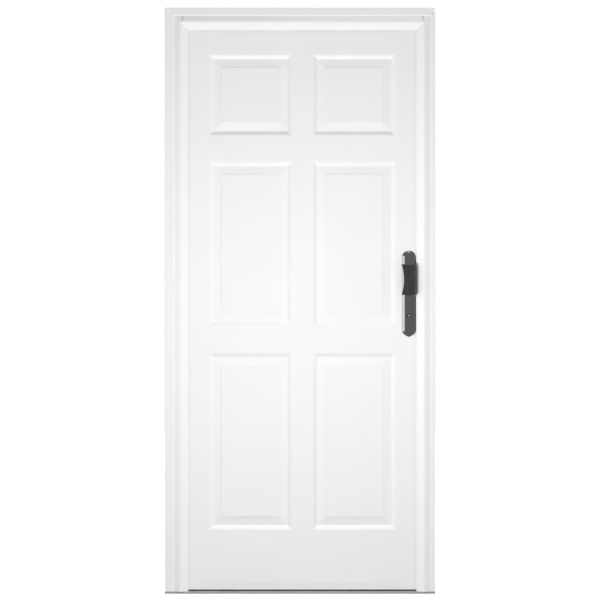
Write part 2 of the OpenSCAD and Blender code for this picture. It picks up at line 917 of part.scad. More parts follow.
module lock_cylinder() {
    cam_back = cam_front + cam_t;
    color("#c9b37a")
    difference() {
        cylinder_shape(cylinder_front, cylinder_back, 0);
        box([key_x - cylinder_r - over, cam_front - cam_gap, key_z - cam_hub_r - 1],
            [key_x + cylinder_r + over, cam_back + cam_gap, key_z + cylinder_r + over]);
        bar_y(key_x, key_z, plug_r + run_fit, cylinder_front - over, cam_front);
        bar_y(key_x, key_z, spindle_r + run_fit, cam_back, cylinder_back + over);
        bar_x(key_x, key_x + cylinder_web_w, leaf_mid_y, cylinder_screw_z,
            cylinder_screw_r + screw_fit);
    }
}

module cylinder_screw() {
    color(steel) {
        bar_x(key_x + 1, faceplate_out, leaf_mid_y, cylinder_screw_z, cylinder_screw_r);
        bar_x(faceplate_out, faceplate_out + 0.3, leaf_mid_y, cylinder_screw_z,
            cylinder_screw_r + 1.4);
    }
}

// Key barrel with its slot level
module key_plug() {
    key_slot_w = 9;
    key_slot_h = 2.4;
    back = cam_front - cam_gap - 0.2;
    color("#c9b37a")
    difference() {
        bar_y(key_x, key_z, plug_r, cylinder_front, back);
        box([key_x - key_slot_w / 2, cylinder_front - over, key_z - key_slot_h / 2],
            [key_x + key_slot_w / 2, back - 4, key_z + key_slot_h / 2]);
    }
}

// Cam that drives the bolt: hub, arm and pin, turned back by its swing at rest
module lock_cam() {
    pin_front = tail_front;
    color(zinc)
    difference() {
        translate([key_x, 0, key_z])
        rotate([0, -cam_swing, 0]) {
            bar_y(0, 0, cam_hub_r, cam_front, cam_front + cam_t);
            box([-cam_pin_r, cam_front, 0], [cam_pin_r, cam_front + cam_t, cam_arm]);
            bar_y(0, cam_arm, cam_pin_r, pin_front, cam_front + cam_t);
        }
        bar_y(key_x, key_z, spindle_r + screw_fit / 2, cam_front - over,
            cam_front + cam_t + over);
    }
}

module turn_spindle() {
    color(zinc)
    bar_y(key_x, key_z, spindle_r, cam_front, back_y + plate_t + knob_gap + knob_l / 2);
}

// Turn on the room side: round collar and an upright wing
module thumbturn_knob() {
    y0 = back_y + plate_t + knob_gap;
    collar_r = 12;
    collar_t = 5;
    wing_t = 7;
    wing_h = 32;
    color(dark)
    difference() {
        union() {
            bar_y(key_x, key_z, collar_r, y0, y0 + collar_t);
            hull()
                for (dz = [-wing_h / 2 + wing_t / 2, wing_h / 2 - wing_t / 2])
                    bar_y(key_x, key_z + dz, wing_t / 2, y0 + collar_t - 1, y0 + knob_l);
        }
        bar_y(key_x, key_z, spindle_r + screw_fit / 2, y0 - over, y0 + knob_l / 2);
    }
}

// ---- Deadbolt and roller catch ----

module deadbolt() {
    slot_half = cam_pin_r + pin_slot_fit;
    pin_rest_x = key_x - throw / 2;
    color(steel)
    difference() {
        union() {
            box([bolt_head_left, leaf_mid_y - bolt_t / 2, bolt_z],
                [faceplate_out, leaf_mid_y + bolt_t / 2, bolt_z + bolt_h]);
            box([tail_left, tail_front, tail_z],
                [bolt_head_left + over, tail_front + tail_t, bolt_z + bolt_h]);
        }
        // upright slot for the cam's pin
        box([pin_rest_x - slot_half, tail_front - over, tail_z - over],
            [pin_rest_x + slot_half, tail_front + tail_t + over,
                key_z + cam_arm + cam_pin_r + pin_slot_fit]);
        // level slot for the guide post
        box([guide_x - throw - guide_slot_fit, tail_front - over,
                guide_z - guide_r - guide_slot_fit],
            [guide_x + guide_r + guide_slot_fit, tail_front + tail_t + over,
                guide_z + guide_r + guide_slot_fit]);
        // room for the cam beside the head
        bar_y(key_x, key_z, cam_arm + cam_pin_r + 0.8, cam_front - 0.5, leaf_mid_y + bolt_t);
    }
}

// Fork that carries the roller, with its block and spring stem
module latch_carriage() {
    fork_right = roller_x + 2.5;
    color(steel)
    difference() {
        union() {
            box([block_left, leaf_mid_y - block_w / 2, roller_z - fork_h / 2],
                [block_right, leaf_mid_y + block_w / 2, roller_z + fork_h / 2]);
            for (side = [-1, 1])
                box([block_right - over, leaf_mid_y - fork_w / 2,
                        roller_z + side * (fork_h / 2 - fork_t / 2) - fork_t / 2],
                    [fork_right, leaf_mid_y + fork_w / 2,
                        roller_z + side * (fork_h / 2 - fork_t / 2) + fork_t / 2]);
            bar_x(block_left - stem_l, block_left + over, leaf_mid_y, roller_z, stem_r);
        }
        bar_z(roller_x, leaf_mid_y, roller_pin_r + screw_fit / 2, roller_z - fork_h,
            roller_z + fork_h);
    }
}

module roller_pin() {
    color(steel)
    bar_z(roller_x, leaf_mid_y, roller_pin_r, roller_z - fork_h / 2, roller_z + fork_h / 2);
}

module latch_roller() {
    color("#e6e2d6")
    difference() {
        bar_z(roller_x, leaf_mid_y, roller_r, roller_z - roller_h / 2, roller_z + roller_h / 2);
        bar_z(roller_x, leaf_mid_y, roller_pin_r + run_fit, roller_z - roller_h,
            roller_z + roller_h);
    }
}

// Coil spring round the stem: a wire of square section swept along a helix
module latch_spring() {
    steps = 16;
    rings = spring_turns * steps;
    half = spring_wire / 2;
    x0 = block_left - spring_l + half;
    rise = (spring_l - spring_wire) / rings;
    wire = [[-half, -half], [half, -half], [half, half], [-half, half]];
    points = [for (i = [0 : rings]) for (c = wire)
        let (a = i * 360 / steps, r = spring_r - half + c[1])
        [x0 + rise * i + c[0], leaf_mid_y + r * cos(a), roller_z + r * sin(a)]];
    sides = [for (i = [0 : rings - 1]) for (k = [0 : 3])
        let (a = 4 * i + k, b = 4 * i + (k + 1) % 4)
        each [[a, a + 4, b], [b, a + 4, b + 4]]];
    end = 4 * rings;
    color(steel)
        polyhedron(points, concat([[0, 1, 2, 3]], sides, [[end + 3, end + 2, end + 1, end]]));
}

// ---- Handle plates and grips ----

module plate_bolt_holes() {
    for (z = plate_fixings)
        bar_y(plate_x, z, bolt_r + screw_fit, leaf_front - plate_t - 5, back_y + plate_t + over);
}

// Handle plate on the outer face: flat back, bevelled front edge
module outer_plate_body() {
    inset = plate_bevel;
    translate([plate_x, 0, 0])
    hull() {
        plate_xz(plate_outline(plate_w, plate_bottom, plate_top),
            leaf_front - plate_t + inset, leaf_front);
        plate_xz(plate_outline(plate_w - 2 * inset, plate_bottom + inset, plate_top - inset),
            leaf_front - plate_t, leaf_front);
    }
}

// Hollow in the plate's back for the cylinder's end
module cylinder_pocket() {
    cylinder_shape(cylinder_front - leaf_fit, leaf_front + over, leaf_fit);
}

module outer_plate() {
    color(dark)
    difference() {
        outer_plate_body();
        cylinder_pocket();
        box([key_x - slot_w / 2, leaf_front - plate_t - over, key_z - slot_h / 2],
            [key_x + slot_w / 2, leaf_front - over, key_z + slot_h / 2]);
        for (z = plate_fixings)
            bar_y(plate_x, z, bolt_r + screw_fit, leaf_front - plate_t + 2.5, leaf_front + over);
        grip_screw_holes();
    }
}

// Face in the middle of the leaf that swaps outer and inner sides
module on_room_side() {
    translate([0, 2 * leaf_mid_y, 0]) mirror([0, 1, 0]) children();
}

module inner_plate() {
    color(dark)
    difference() {
        on_room_side() outer_plate_body();
        on_room_side() cylinder_pocket();
        bar_y(key_x, key_z, spindle_r + 2 * slide_fit, back_y, back_y + plate_t + over);
        plate_bolt_holes();
        on_room_side() grip_screw_holes();
    }
}

// Two long bolts from the room side into the outer plate
module plate_bolts() {
    color(dark)
    for (z = plate_fixings) {
        bar_y(plate_x, z, bolt_r, leaf_front - plate_t + 3, back_y + plate_t);
        bar_y(plate_x, z, bolt_head_r, back_y + plate_t, back_y + plate_t + bolt_head_t);
    }
}

module grip_screw_holes() {
    for (z = grip_screw_zs)
        bar_y(grip_screw_x, z, grip_screw_r + screw_fit, leaf_front - plate_t - 10,
            leaf_front + over);
}

// Section of the grip across the plate: foot on the plate, spine and overhanging face
function grip_section() =
    let (r = 12, x1 = grip_w, d = grip_d, w = grip_wall)
    concat(
        [[x1 - 9 - grip_foot, 0], [x1 - 9, 0]],
        quarter(x1 - 9, 7, 7, 7, 270, 350, 4),
        quarter(x1 - r, d - r, r, r, 0, 90, 6),
        [[2, d - 3], [0, d - 3 - w / 2], [2, d - 3 - w]],
        quarter(x1 - w - 8, d - w - 8, 8, 8, 90, 0, 4),
        [[x1 - w - 2, w], [x1 - 9 - grip_foot, w - 2]]
    );

// Front outline of the grip: waisted free edge with flared tips
function grip_front() =
    let (waist = 9, n = 12)
    concat(
        [for (i = [0 : n]) let (t = i / n)
            [waist * pow(sin(180 * t), 0.8), t * grip_h]],
        [[10, grip_h + 1], [grip_w + 1, grip_h + 1], [grip_w + 1, -1], [10, -1]]
    );

module outer_grip_body() {
    front = leaf_front - plate_t;
    translate([grip_x, front, grip_z])
    intersection() {
        mirror([0, 1, 0]) linear_extrude(grip_h) polygon(grip_section());
        plate_xz(grip_front(), -grip_d - over, over);
    }
}

module outer_grip() {
    color(dark)
    difference() {
        outer_grip_body();
        grip_screw_pockets();
    }
}

// Blind threaded holes in the grip's foot
module grip_screw_pockets() {
    front = leaf_front - plate_t;
    for (z = grip_screw_zs)
        bar_y(grip_screw_x, z, grip_screw_r + screw_fit, front - 4, front + over);
}

module inner_grip() {
    color(dark)
    on_room_side()
    difference() {
        outer_grip_body();
        grip_screw_pockets();
    }
}

// Screws from the back of the plate into the grip's foot
module outer_grip_screws() {
    front = leaf_front - plate_t;
    color(steel)
    for (z = grip_screw_zs)
        bar_y(grip_screw_x, z, grip_screw_r, front - 3.5, leaf_front - 0.2);
}

module inner_grip_screws() {
    on_room_side() outer_grip_screws();
}

sill();
hinge_jamb();
lock_jamb();
frame_head();
hinge_seal();
lock_seal();
head_seal();
strike_plate();
strike_box();
strike_screws();
hinge_frame(0);  // hinge_frame_1
hinge_frame(1);  // hinge_frame_2
hinge_frame(2);  // hinge_frame_3
hinge_pin(0);  // hinge_pin_1
hinge_pin(1);  // hinge_pin_2
hinge_pin(2);  // hinge_pin_3
hinge_screws(-1);  // hinge_frame_screws
outer_skin();
inner_skin();
hinge_edge_channel();
lock_edge_channel();
top_channel();
bottom_channel();
foam_core();
lock_reinforcement();
bottom_sweep();
hinge_leaf(0);  // hinge_leaf_1
hinge_leaf(1);  // hinge_leaf_2
hinge_leaf(2);  // hinge_leaf_3
hinge_screws(1);  // hinge_leaf_screws
outer_plate();
outer_grip();
outer_grip_screws();
inner_plate();
inner_grip();
inner_grip_screws();
plate_bolts();
lock_case();
lock_cover();
lock_faceplate();
faceplate_screws();
lock_cylinder();
cylinder_screw();
latch_spring();
latch_carriage();
roller_pin();
latch_roller();
deadbolt();
thumbturn_knob();
turn_spindle();
lock_cam();
key_plug();
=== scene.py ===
"""Looks of a panelled steel front door in its folded frame.

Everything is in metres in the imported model's frame: X runs right as seen from outside, +Y runs
into the building, +Z up, with the origin under the middle of the threshold. Sheet metal is drawn
as surfaces worked out on grids, then given its thickness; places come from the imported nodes.
"""

import json
import logging
import math
from dataclasses import dataclass
from enum import Enum
from typing import NamedTuple, Sequence

import bmesh
import bpy
import numpy as np
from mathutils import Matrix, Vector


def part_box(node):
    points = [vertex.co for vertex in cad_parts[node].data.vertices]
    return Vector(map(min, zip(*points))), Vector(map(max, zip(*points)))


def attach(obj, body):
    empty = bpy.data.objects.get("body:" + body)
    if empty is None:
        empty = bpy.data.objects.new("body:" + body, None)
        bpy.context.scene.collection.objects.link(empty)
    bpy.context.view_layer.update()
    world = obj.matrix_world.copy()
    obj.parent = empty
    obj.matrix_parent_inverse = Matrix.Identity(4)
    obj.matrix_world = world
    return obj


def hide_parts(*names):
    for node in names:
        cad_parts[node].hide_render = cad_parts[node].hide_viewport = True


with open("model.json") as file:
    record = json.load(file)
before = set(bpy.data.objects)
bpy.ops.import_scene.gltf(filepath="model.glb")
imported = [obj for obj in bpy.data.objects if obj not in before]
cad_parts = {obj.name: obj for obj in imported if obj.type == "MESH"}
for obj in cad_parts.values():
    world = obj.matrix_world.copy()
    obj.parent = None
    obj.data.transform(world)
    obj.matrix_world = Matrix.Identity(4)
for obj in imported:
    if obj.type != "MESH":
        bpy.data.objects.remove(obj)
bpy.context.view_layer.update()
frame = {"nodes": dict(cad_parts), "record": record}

Array = np.ndarray
Piece = bpy.types.Object
Tree = bpy.types.NodeTree
Node = bpy.types.Node
Socket = bpy.types.NodeSocket
LOG = logging.getLogger("front_door")
MM = 0.001
# Largest turn, in degrees, between two neighbouring faces of a round stretch
ARC_STEP = 7.5
# Edges that turn more than this are left crisp
CRISP_TURN = 10.0
# Vertices nearer than this are one vertex
WELD = 2e-6
# A corner that turns less than this, in radians, is straight
STRAIGHT = 1e-6
# Depths nearer than this lie in one plane
LEVEL = 1e-8
# How strongly wide faces set the shading of their vertices, of 100
FLAT_WEIGHT = 80


# ---- Plane geometry ----


def arc_count(turn: float) -> int:
    """How many straight steps a round stretch takes.

    Args:
        turn: angle that the stretch turns through, in radians.

    Returns:
        The number of steps, at least one.
    """
    return max(1, math.ceil(math.degrees(abs(turn)) / ARC_STEP))


def rounded(corners: Sequence[tuple[float, float]], radii: Sequence[float]) -> Array:
    """Polyline whose corners are rounded.

    Each corner becomes an arc that touches both its edges at radius times the tangent of half
    the turn. The first and last points stay as they are.

    Args:
        corners: points of the polyline.
        radii: one radius for each point; 0 keeps a sharp corner.

    Returns:
        The points as an array of shape (n, 2).
    """
    points = np.asarray(corners, float)
    out = [points[:1]]
    for before, corner, after, radius in zip(points, points[1:], points[2:], radii[1:]):
        into = (corner - before) / np.linalg.norm(corner - before)
        away = (after - corner) / np.linalg.norm(after - corner)
        cross = into[0] * away[1] - into[1] * away[0]
        turn = math.atan2(cross, float(into @ away))
        if radius == 0 or abs(turn) < STRAIGHT:
            out.append(corner[None])
            continue
        start = corner - into * radius * math.tan(abs(turn) / 2)
        normal = math.copysign(1, turn) * np.array([-into[1], into[0]])
        angles = np.linspace(0, abs(turn), arc_count(turn) + 1)[:, None]
        out.append(start + radius * (np.sin(angles) * into + (1 - np.cos(angles)) * normal))
    out.append(points[-1:])
    return np.concatenate(out)


# ---- Meshes ----


class Patch(NamedTuple):
    """Vertices of shape (n, 3), and lists of faces that number them."""

    vertices: Array
    faces: list[list[int]]


class Box:
    """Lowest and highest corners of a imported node."""

    def __init__(self, node: str) -> None:
        """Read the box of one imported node."""
        low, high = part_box(node)
        self.low = np.array(low)
        self.high = np.array(high)

    @property
    def centre(self) -> Array:
        """Middle of the box."""
        return (self.low + self.high) / 2

    @property
    def size(self) -> Array:
        """Lengths of the box's sides."""
        return self.high - self.low


def grid_faces(rows: int, cols: int, close_rows: bool = False, close_cols: bool = False) -> Array:
    """Four-cornered faces of a grid whose vertices are numbered row by row.

    Args:
        rows: how many rows of vertices.
        cols: how many vertices in a row.
        close_rows: whether the last row joins the first.
        close_cols: whether each row's end joins its start.

    Returns:
        An array of shape (n, 4).
    """
    row = np.arange(rows if close_rows else rows - 1)[:, None]
    col = np.arange(cols if close_cols else cols - 1)[None]
    below, beside = (row + 1) % rows, (col + 1) % cols
    corners = [row * cols + col, row * cols + beside, below * cols + beside, below * cols + col]
    return np.stack(np.broadcast_arrays(*corners), -1).reshape(-1, 4)


def grid_patch(points: Array, close_rows: bool = False, close_cols: bool = False) -> Patch:
    """Surface through an array of points of shape (rows, cols, 3)."""
    faces = grid_faces(*points.shape[:2], close_rows, close_cols)
    return Patch(points.reshape(-1, 3), faces.tolist())


def tube_patch(rings: Array) -> Patch:
    """Closed solid through rings, capped at both its ends.

    Args:
        rings: points of shape (rings, points, 3).

    Returns:
        The solid.
    """
    count, around = rings.shape[:2]
    side = grid_patch(rings, close_cols=True)
    first = list(range(around))[::-1]
    last = [(count - 1) * around + i for i in range(around)]
    return Patch(side.vertices, side.faces + [first, last])


def joined(patches: Sequence[Patch]) -> Patch:
    """Several patches as one, each patch's faces renumbered past the vertices before it.

    Args:
        patches: the patches, in order.

    Returns:
        One patch that holds them all.
    """
    starts = np.cumsum([0] + [len(p.vertices) for p in patches])
    faces = [[i + int(start) for i in face] for p, start in zip(patches, starts) for face in p.faces]
    return Patch(np.concatenate([p.vertices for p in patches]), faces)


def box_patch(low: Sequence[float], high: Sequence[float]) -> Patch:
    """Closed box between two corners."""
    x0, y0, z0 = low
    x1, y1, z1 = high
    ring = [(x0, y0), (x1, y0), (x1, y1), (x0, y1)]
    return tube_patch(np.array([[(x, y, z) for x, y in ring] for z in (z0, z1)]))


def prism_patch(outline: Array, axis: int, low: float, high: float) -> Patch:
    """Closed prism: a plane outline of shape (n, 2) carried along one axis from low to high."""
    rings = np.stack([np.insert(outline, axis, end, axis=1) for end in (low, high)])
    return tube_patch(rings)


def turned_patch(profile: Array, axis: int, centre: Sequence[float], steps: int = 40) -> Patch:
    """Closed round solid: a profile turned about an axis through a point.

    A point at (radius, height) goes to the centre plus the radius times the cosine and the
    sine of its angle across the axis, plus the height along it.

    Args:
        profile: (radius, height) points, from one end's middle to the other's.
        axis: 0, 1 or 2 for an axis along X, Y or Z.
        centre: point that the axis passes through, at height 0.
        steps: how many faces go round.

    Returns:
        The solid, with its two middles closed.
    """
    angles = np.linspace(0, 2 * math.pi, steps, endpoint=False)[None]
    radius, height = profile[:, :1], profile[:, 1:]
    parts = [radius * np.cos(angles), radius * np.sin(angles)]
    parts.insert(axis, np.broadcast_to(height, parts[0].shape))
    return grid_patch(np.stack(parts, -1) + np.asarray(centre, float), close_cols=True)


def cutter_profile(radius: float, low: float, high: float) -> Array:
    """Profile of a plain round cutter: (radius, height) round a rectangle."""
    return np.array([(0, low), (radius, low), (radius, high), (0, high)])


def new_object(name: str, patch: Patch, closed: bool = True) -> Piece:
    """Mesh object at the origin with its place in its vertices.

    Args:
        name: the piece's name.
        patch: its surface.
        closed: whether it is a closed solid, whose faces are then turned outwards.

    Returns:
        The object, linked to the scene.
    """
    mesh = bpy.data.meshes.new(name)
    mesh.from_pydata(patch.vertices.tolist(), [], patch.faces)
    shape = bmesh.new()
    shape.from_mesh(mesh)
    bmesh.ops.remove_doubles(shape, verts=shape.verts, dist=WELD)
    bmesh.ops.dissolve_degenerate(shape, edges=shape.edges, dist=WELD)
    if closed:
        bmesh.ops.recalc_face_normals(shape, faces=shape.faces)
    shape.to_mesh(mesh)
    shape.free()
    mesh.shade_smooth()
    mesh.set_sharp_from_angle(angle=math.radians(CRISP_TURN))
    obj = bpy.data.objects.new(name, mesh)
    bpy.context.scene.collection.objects.link(obj)
    return obj


def apply_modifiers(obj: Piece) -> None:
    """Replace an object's mesh by what its modifiers make of it."""
    depsgraph = bpy.context.evaluated_depsgraph_get()
    mesh = bpy.data.meshes.new_from_object(obj.evaluated_get(depsgraph))
    obj.modifiers.clear()
    obj.data = mesh


def thicken(obj: Piece, thickness: float) -> None:
    """Give an open surface its sheet thickness, behind its visible side.

    Args:
        obj: the surface.
        thickness: of the sheet, in metres.
    """
    wall = obj.modifiers.new("sheet", "SOLIDIFY")
    wall.thickness = thickness
    wall.offset = -1
    wall.use_even_offset = True
    apply_modifiers(obj)


def cut(obj: Piece, patches: Sequence[Patch]) -> None:
    """Cut closed solids out of an object.

    Args:
        obj: the object that is cut.
        patches: the solids.
    """
    cutter = new_object(f"{obj.name}_cutter", joined(patches))
    hole = obj.modifiers.new("cut", "BOOLEAN")
    hole.operation = "DIFFERENCE"
    hole.solver = "EXACT"
    hole.use_self = True
    hole.object = cutter
    apply_modifiers(obj)
    bpy.data.objects.remove(cutter)
    obj.data.set_sharp_from_angle(angle=math.radians(CRISP_TURN))


def steady_normals(obj: Piece) -> None:
    """Let wide flat faces set the shading of the vertices they share with small round ones."""
    weighted = obj.modifiers.new("flats", "WEIGHTED_NORMAL")
    weighted.mode = "FACE_AREA"
    weighted.keep_sharp = True
    weighted.weight = FLAT_WEIGHT


# ---- Finishes ----


def linear(code: str) -> tuple[float, float, float, float]:
    """Linear colour of an sRGB hex value.

    Args:
        code: the colour as "#rrggbb".

    Returns:
        Red, green, blue and an alpha of 1, for which each channel c is ((c + 0.055) / 1.055)
        to the power 2.4, or c / 12.92 where c is at most 0.04045.
    """
    channels = [int(code[i:i + 2], 16) / 255 for i in (1, 3, 5)]
    red, green, blue = (c / 12.92 if c <= 0.04045 else ((c + 0.055) / 1.055) ** 2.4
                        for c in channels)
    return red, green, blue, 1.0


def add(tree: Tree, kind: str, settings: dict | None = None,
        inputs: dict | None = None) -> Node:
    """Add one node to a tree.

    Args:
        tree: the material's or the world's nodes.
        kind: Blender's name for the kind of node.
        settings: the node's own properties.
        inputs: values for its sockets by name or number; a socket is linked.

    Returns:
        The node.
    """
    node = tree.nodes.new(kind)
    for key, value in (settings or {}).items():
        setattr(node, key, value)
    for key, value in (inputs or {}).items():
        if isinstance(value, Socket):
            tree.links.new(value, node.inputs[key])
        else:
            node.inputs[key].default_value = value
    return node


def blend_colours(tree: Tree, factor: Socket, first: str,
                  second: str) -> Socket:
    """Colour between two hex values.

    Args:
        tree: the material's nodes.
        factor: socket from 0, the first colour, to 1, the second.
        first: hex value at 0.
        second: hex value at 1.

    Returns:
        The colour's socket.
    """
    ramp = add(tree, "ShaderNodeValToRGB", None, {"Fac": factor})
    ramp.color_ramp.elements[0].color = linear(first)
    ramp.color_ramp.elements[1].color = linear(second)
    return ramp.outputs["Color"]


def spread(tree: Tree, factor: Socket, low: float,
           high: float) -> Socket:
    """Value between low and high by a factor from 0 to 1."""
    return add(tree, "ShaderNodeMapRange", None,
               {"Value": factor, "To Min": low, "To Max": high}).outputs["Result"]


@dataclass(frozen=True)
class Finish:
    """A real finish: its name, and the nodes that dress a shader in it."""

    name: str

    def material(self) -> bpy.types.Material:
        """The finish as a material, made once."""
        known = bpy.data.materials.get(self.name)
        if known:
            return known
        material = bpy.data.materials.new(self.name)
        material.use_nodes = True
        tree = material.node_tree
        tree.nodes.clear()
        shader = add(tree, "ShaderNodeBsdfPrincipled")
        add(tree, "ShaderNodeOutputMaterial", None, {"Surface": shader.outputs["BSDF"]})
        place = add(tree, "ShaderNodeTexCoord").outputs["Object"]
        self.dress(tree, shader, place)
        return material

    def dress(self, tree: Tree, shader: Node, place: Socket) -> None:
        """Set the shader's sockets. Each finish has its own.

        Args:
            tree: the material's nodes.
            shader: its surface shader.
            place: Object coordinates, in metres.
        """
        raise NotImplementedError

    @staticmethod
    def noise(tree: Tree, place: Socket, grain: float,
              detail: float = 2.0, stretch: tuple[float, float, float] = (1, 1, 1)
              ) -> Socket:
        """Noise whose lumps are about one grain across.

        Args:
            tree: the material's nodes.
            place: coordinates in metres.
            grain: size of a lump, in metres.
            detail: how many finer layers it has.
            stretch: factors along each axis; under 1 draws lumps out along that axis.

        Returns:
            The noise's value.
        """
        mapped = add(tree, "ShaderNodeMapping", None, {"Vector": place, "Scale": stretch})
        return add(tree, "ShaderNodeTexNoise", None,
                   {"Vector": mapped.outputs["Vector"], "Scale": 1 / grain,
                    "Detail": detail, "Roughness": 0.5}).outputs["Fac"]

    @staticmethod
    def bump(tree: Tree, shader: Node, height: Socket,
             depth: float, strength: float = 1.0) -> None:
        """Give the shader relief of a depth in metres."""
        node = add(tree, "ShaderNodeBump", None,
                   {"Height": height, "Distance": depth, "Strength": strength})
        tree.links.new(node.outputs["Normal"], shader.inputs["Normal"])


@dataclass(frozen=True)
class PowderCoat(Finish):
    """Satin polyester powder coat, sprayed and baked on steel sheet.

    The eye sees a soft sheen, broken up by a faint orange peel, and a slow waviness of the
    sheet under it.
    """

    body: str = "#f6f6f5"
    shade: str = "#f3f3f3"
    roughness: float = 0.36
    peel: float = 1.6 * MM
    peel_depth: float = 0.006 * MM
    wave: float = 140 * MM
    vary: float = 0.04
    ior: float = 1.5

    def dress(self, tree: Tree, shader: Node, place: Socket) -> None:
        """White, with peel as fine relief and the sheet's waves in the tone and the gloss."""
        wave = self.noise(tree, place, self.wave, 1.0)
        peel = self.noise(tree, place, self.peel, 1.0)
        tree.links.new(blend_colours(tree, wave, self.shade, self.body),
                       shader.inputs["Base Color"])
        tree.links.new(spread(tree, wave, self.roughness - self.vary, self.roughness + self.vary),
                       shader.inputs["Roughness"])
        shader.inputs["IOR"].default_value = self.ior
        self.bump(tree, shader, peel, self.peel_depth)


@dataclass(frozen=True)
class BlackNickel(Finish):
    """Black nickel plated on a polished zinc casting.

    The eye sees a dark mirror with fine upright hairlines from polishing, clouded a little paler in
    places: on the plate this is wear from hands, and on the grip it is drawn out into upright streaks
    that are painted highlights.
    """

    body: str = "#828085"
    # Paler tone of the clouds: wear on the plate, and painted highlights in the grip's upright streaks
    rubbed_and_highlight: str = "#939194"
    roughness: float = 0.16
    hairline: float = 0.35 * MM
    cloud: float = 22 * MM
    streak: float = 1.0
    draw: float = 0.04
    smoother: float = 0.05
    rougher: float = 0.09
    relief: float = 0.002 * MM

    def dress(self, tree: Tree, shader: Node, place: Socket) -> None:
        """Dark metal with paler clouds in its tone, which are wear on the plate and painted highlights
        where drawn out upright on the grip, and upright hairlines in its gloss.
        """
        cloud = self.noise(tree, place, self.cloud, 3.0, (1, 1, self.streak))
        lines = self.noise(tree, place, self.hairline, 2.0, (1, 1, self.draw))
        # The paler clouds are wear; drawn out upright on the grip, they are painted highlights
        tree.links.new(blend_colours(tree, cloud, self.body, self.rubbed_and_highlight),
                       shader.inputs["Base Color"])
        tree.links.new(spread(tree, lines, self.roughness - self.smoother, self.roughness + self.rougher),
                       shader.inputs["Roughness"])
        shader.inputs["Metallic"].default_value = 1.0
        self.bump(tree, shader, lines, self.relief)


@dataclass(frozen=True)
class GalvanisedSheet(Finish):
    """Hot-dip galvanised steel sheet, left bare inside the leaf and the lock.

    The eye sees a grey patchwork of zinc crystals about 8 mm across.
    """

    pale: str = "#c9cbcd"
    deep: str = "#b9bbbe"
    spangle: float = 8 * MM
    roughness: tuple[float, float] = (0.32, 0.5)

    def dress(self, tree: Tree, shader: Node, place: Socket) -> None:
        """Grey metal whose tone and gloss change from crystal to crystal."""
        crystal = add(tree, "ShaderNodeTexVoronoi", None,
                      {"Vector": place, "Scale": 1 / self.spangle})
        tone = add(tree, "ShaderNodeSeparateColor", None, {"Color": crystal.outputs["Color"]})
        tree.links.new(blend_colours(tree, tone.outputs["Red"], self.deep, self.pale),
                       shader.inputs["Base Color"])
        tree.links.new(spread(tree, tone.outputs["Green"], *self.roughness),
                       shader.inputs["Roughness"])
        shader.inputs["Metallic"].default_value = 1.0


@dataclass(frozen=True)
class BrushedMetal(Finish):
    """Metal ground or brushed along one way: steel hardware, or a rolled threshold.

    The eye sees fine parallel scratches that draw highlights out across them.
    """

    pale: str = "#d0d0cf"
    deep: str = "#aeafb0"
    roughness: float = 0.28
    scratch: float = 0.5 * MM
    along: tuple[float, float, float] = (1, 1, 0.03)
    smoother: float = 0.08
    rougher: float = 0.1
    relief: float = 0.006 * MM

    def dress(self, tree: Tree, shader: Node, place: Socket) -> None:
        """Grey metal, with its scratches in the tone, the gloss and the relief."""
        lines = self.noise(tree, place, self.scratch, 3.0, self.along)
        tree.links.new(blend_colours(tree, lines, self.deep, self.pale),
                       shader.inputs["Base Color"])
        tree.links.new(spread(tree, lines, self.roughness - self.smoother, self.roughness + self.rougher),
                       shader.inputs["Roughness"])
        shader.inputs["Metallic"].default_value = 1.0
        self.bump(tree, shader, lines, self.relief)


@dataclass(frozen=True)
class Polymer(Finish):
    """Moulded or extruded polymer: rubber seals, a nylon roller, foam.

    The eye sees an even body colour, with a dull grain of its own size.
    """

    body: str = "#2c2d2e"
    shade: str = "#242526"
    roughness: float = 0.7
    grain: float = 0.8 * MM
    depth: float = 0.02 * MM
    cloud: int = 9
    vary: float = 0.06

    def dress(self, tree: Tree, shader: Node, place: Socket) -> None:
        """One colour that clouds a little, with the grain as relief."""
        cloud = self.noise(tree, place, self.cloud * self.grain, 2.0)
        grain = self.noise(tree, place, self.grain, 2.0)
        tree.links.new(blend_colours(tree, cloud, self.shade, self.body),
                       shader.inputs["Base Color"])
        tree.links.new(spread(tree, grain, self.roughness - self.vary, self.roughness + self.vary),
                       shader.inputs["Roughness"])
        self.bump(tree, shader, grain, self.depth)


WHITE_ENAMEL = PowderCoat("satin_powder_coat")
BLACK_NICKEL = BlackNickel("black_nickel")
# The grips are polished upright and darker. The pale upright streaks in their colour are painted
# highlights, standing in for the reflections that run up the grip.
GRIP_NICKEL = BlackNickel("black_nickel_grip", "#3a393d", "#7d7b80", 0.14, 0.35 * MM, 7 * MM, 0.06)
ZINC = GalvanisedSheet("galvanised_steel")
HINGE_STEEL = BrushedMetal("satin_hinge_steel", "#c9c8c5", "#aaa9a7", 0.3, 0.6 * MM)
BRIGHT_STEEL = BrushedMetal("ground_steel", "#d9d9d8", "#bfc0c1", 0.2, 0.4 * MM)
THRESHOLD = BrushedMetal("mill_aluminium", "#d3d5d7", "#bcbec1", 0.34, 0.7 * MM, (0.02, 1, 1))
BRASS = BrushedMetal("tarnished_brass", "#433d32", "#2e2a23", 0.5, 0.4 * MM)
RUBBER = Polymer("seal_rubber")
FOAM = Polymer("rigid_foam", "#e9deb4", "#dccf9f", 0.85, 1.2 * MM, 0.3 * MM)
NYLON = Polymer("moulded_nylon", "#e9e6da", "#ddd9cb", 0.45, 1.5 * MM, 0.01 * MM)

# The finish of each packed slot, for the nodes that keep their own shape
SLOT_FINISHES = {
    "threshold": THRESHOLD,
    "white_enamel": WHITE_ENAMEL,
    "seal_rubber": RUBBER,
    "zinc_steel": ZINC,
    "hinge_steel": HINGE_STEEL,
    "foam": FOAM,
    "dark_nickel": BLACK_NICKEL,
    "bright_steel": BRIGHT_STEEL,
    "lock_brass": BRASS,
    "roller_nylon": NYLON,
}


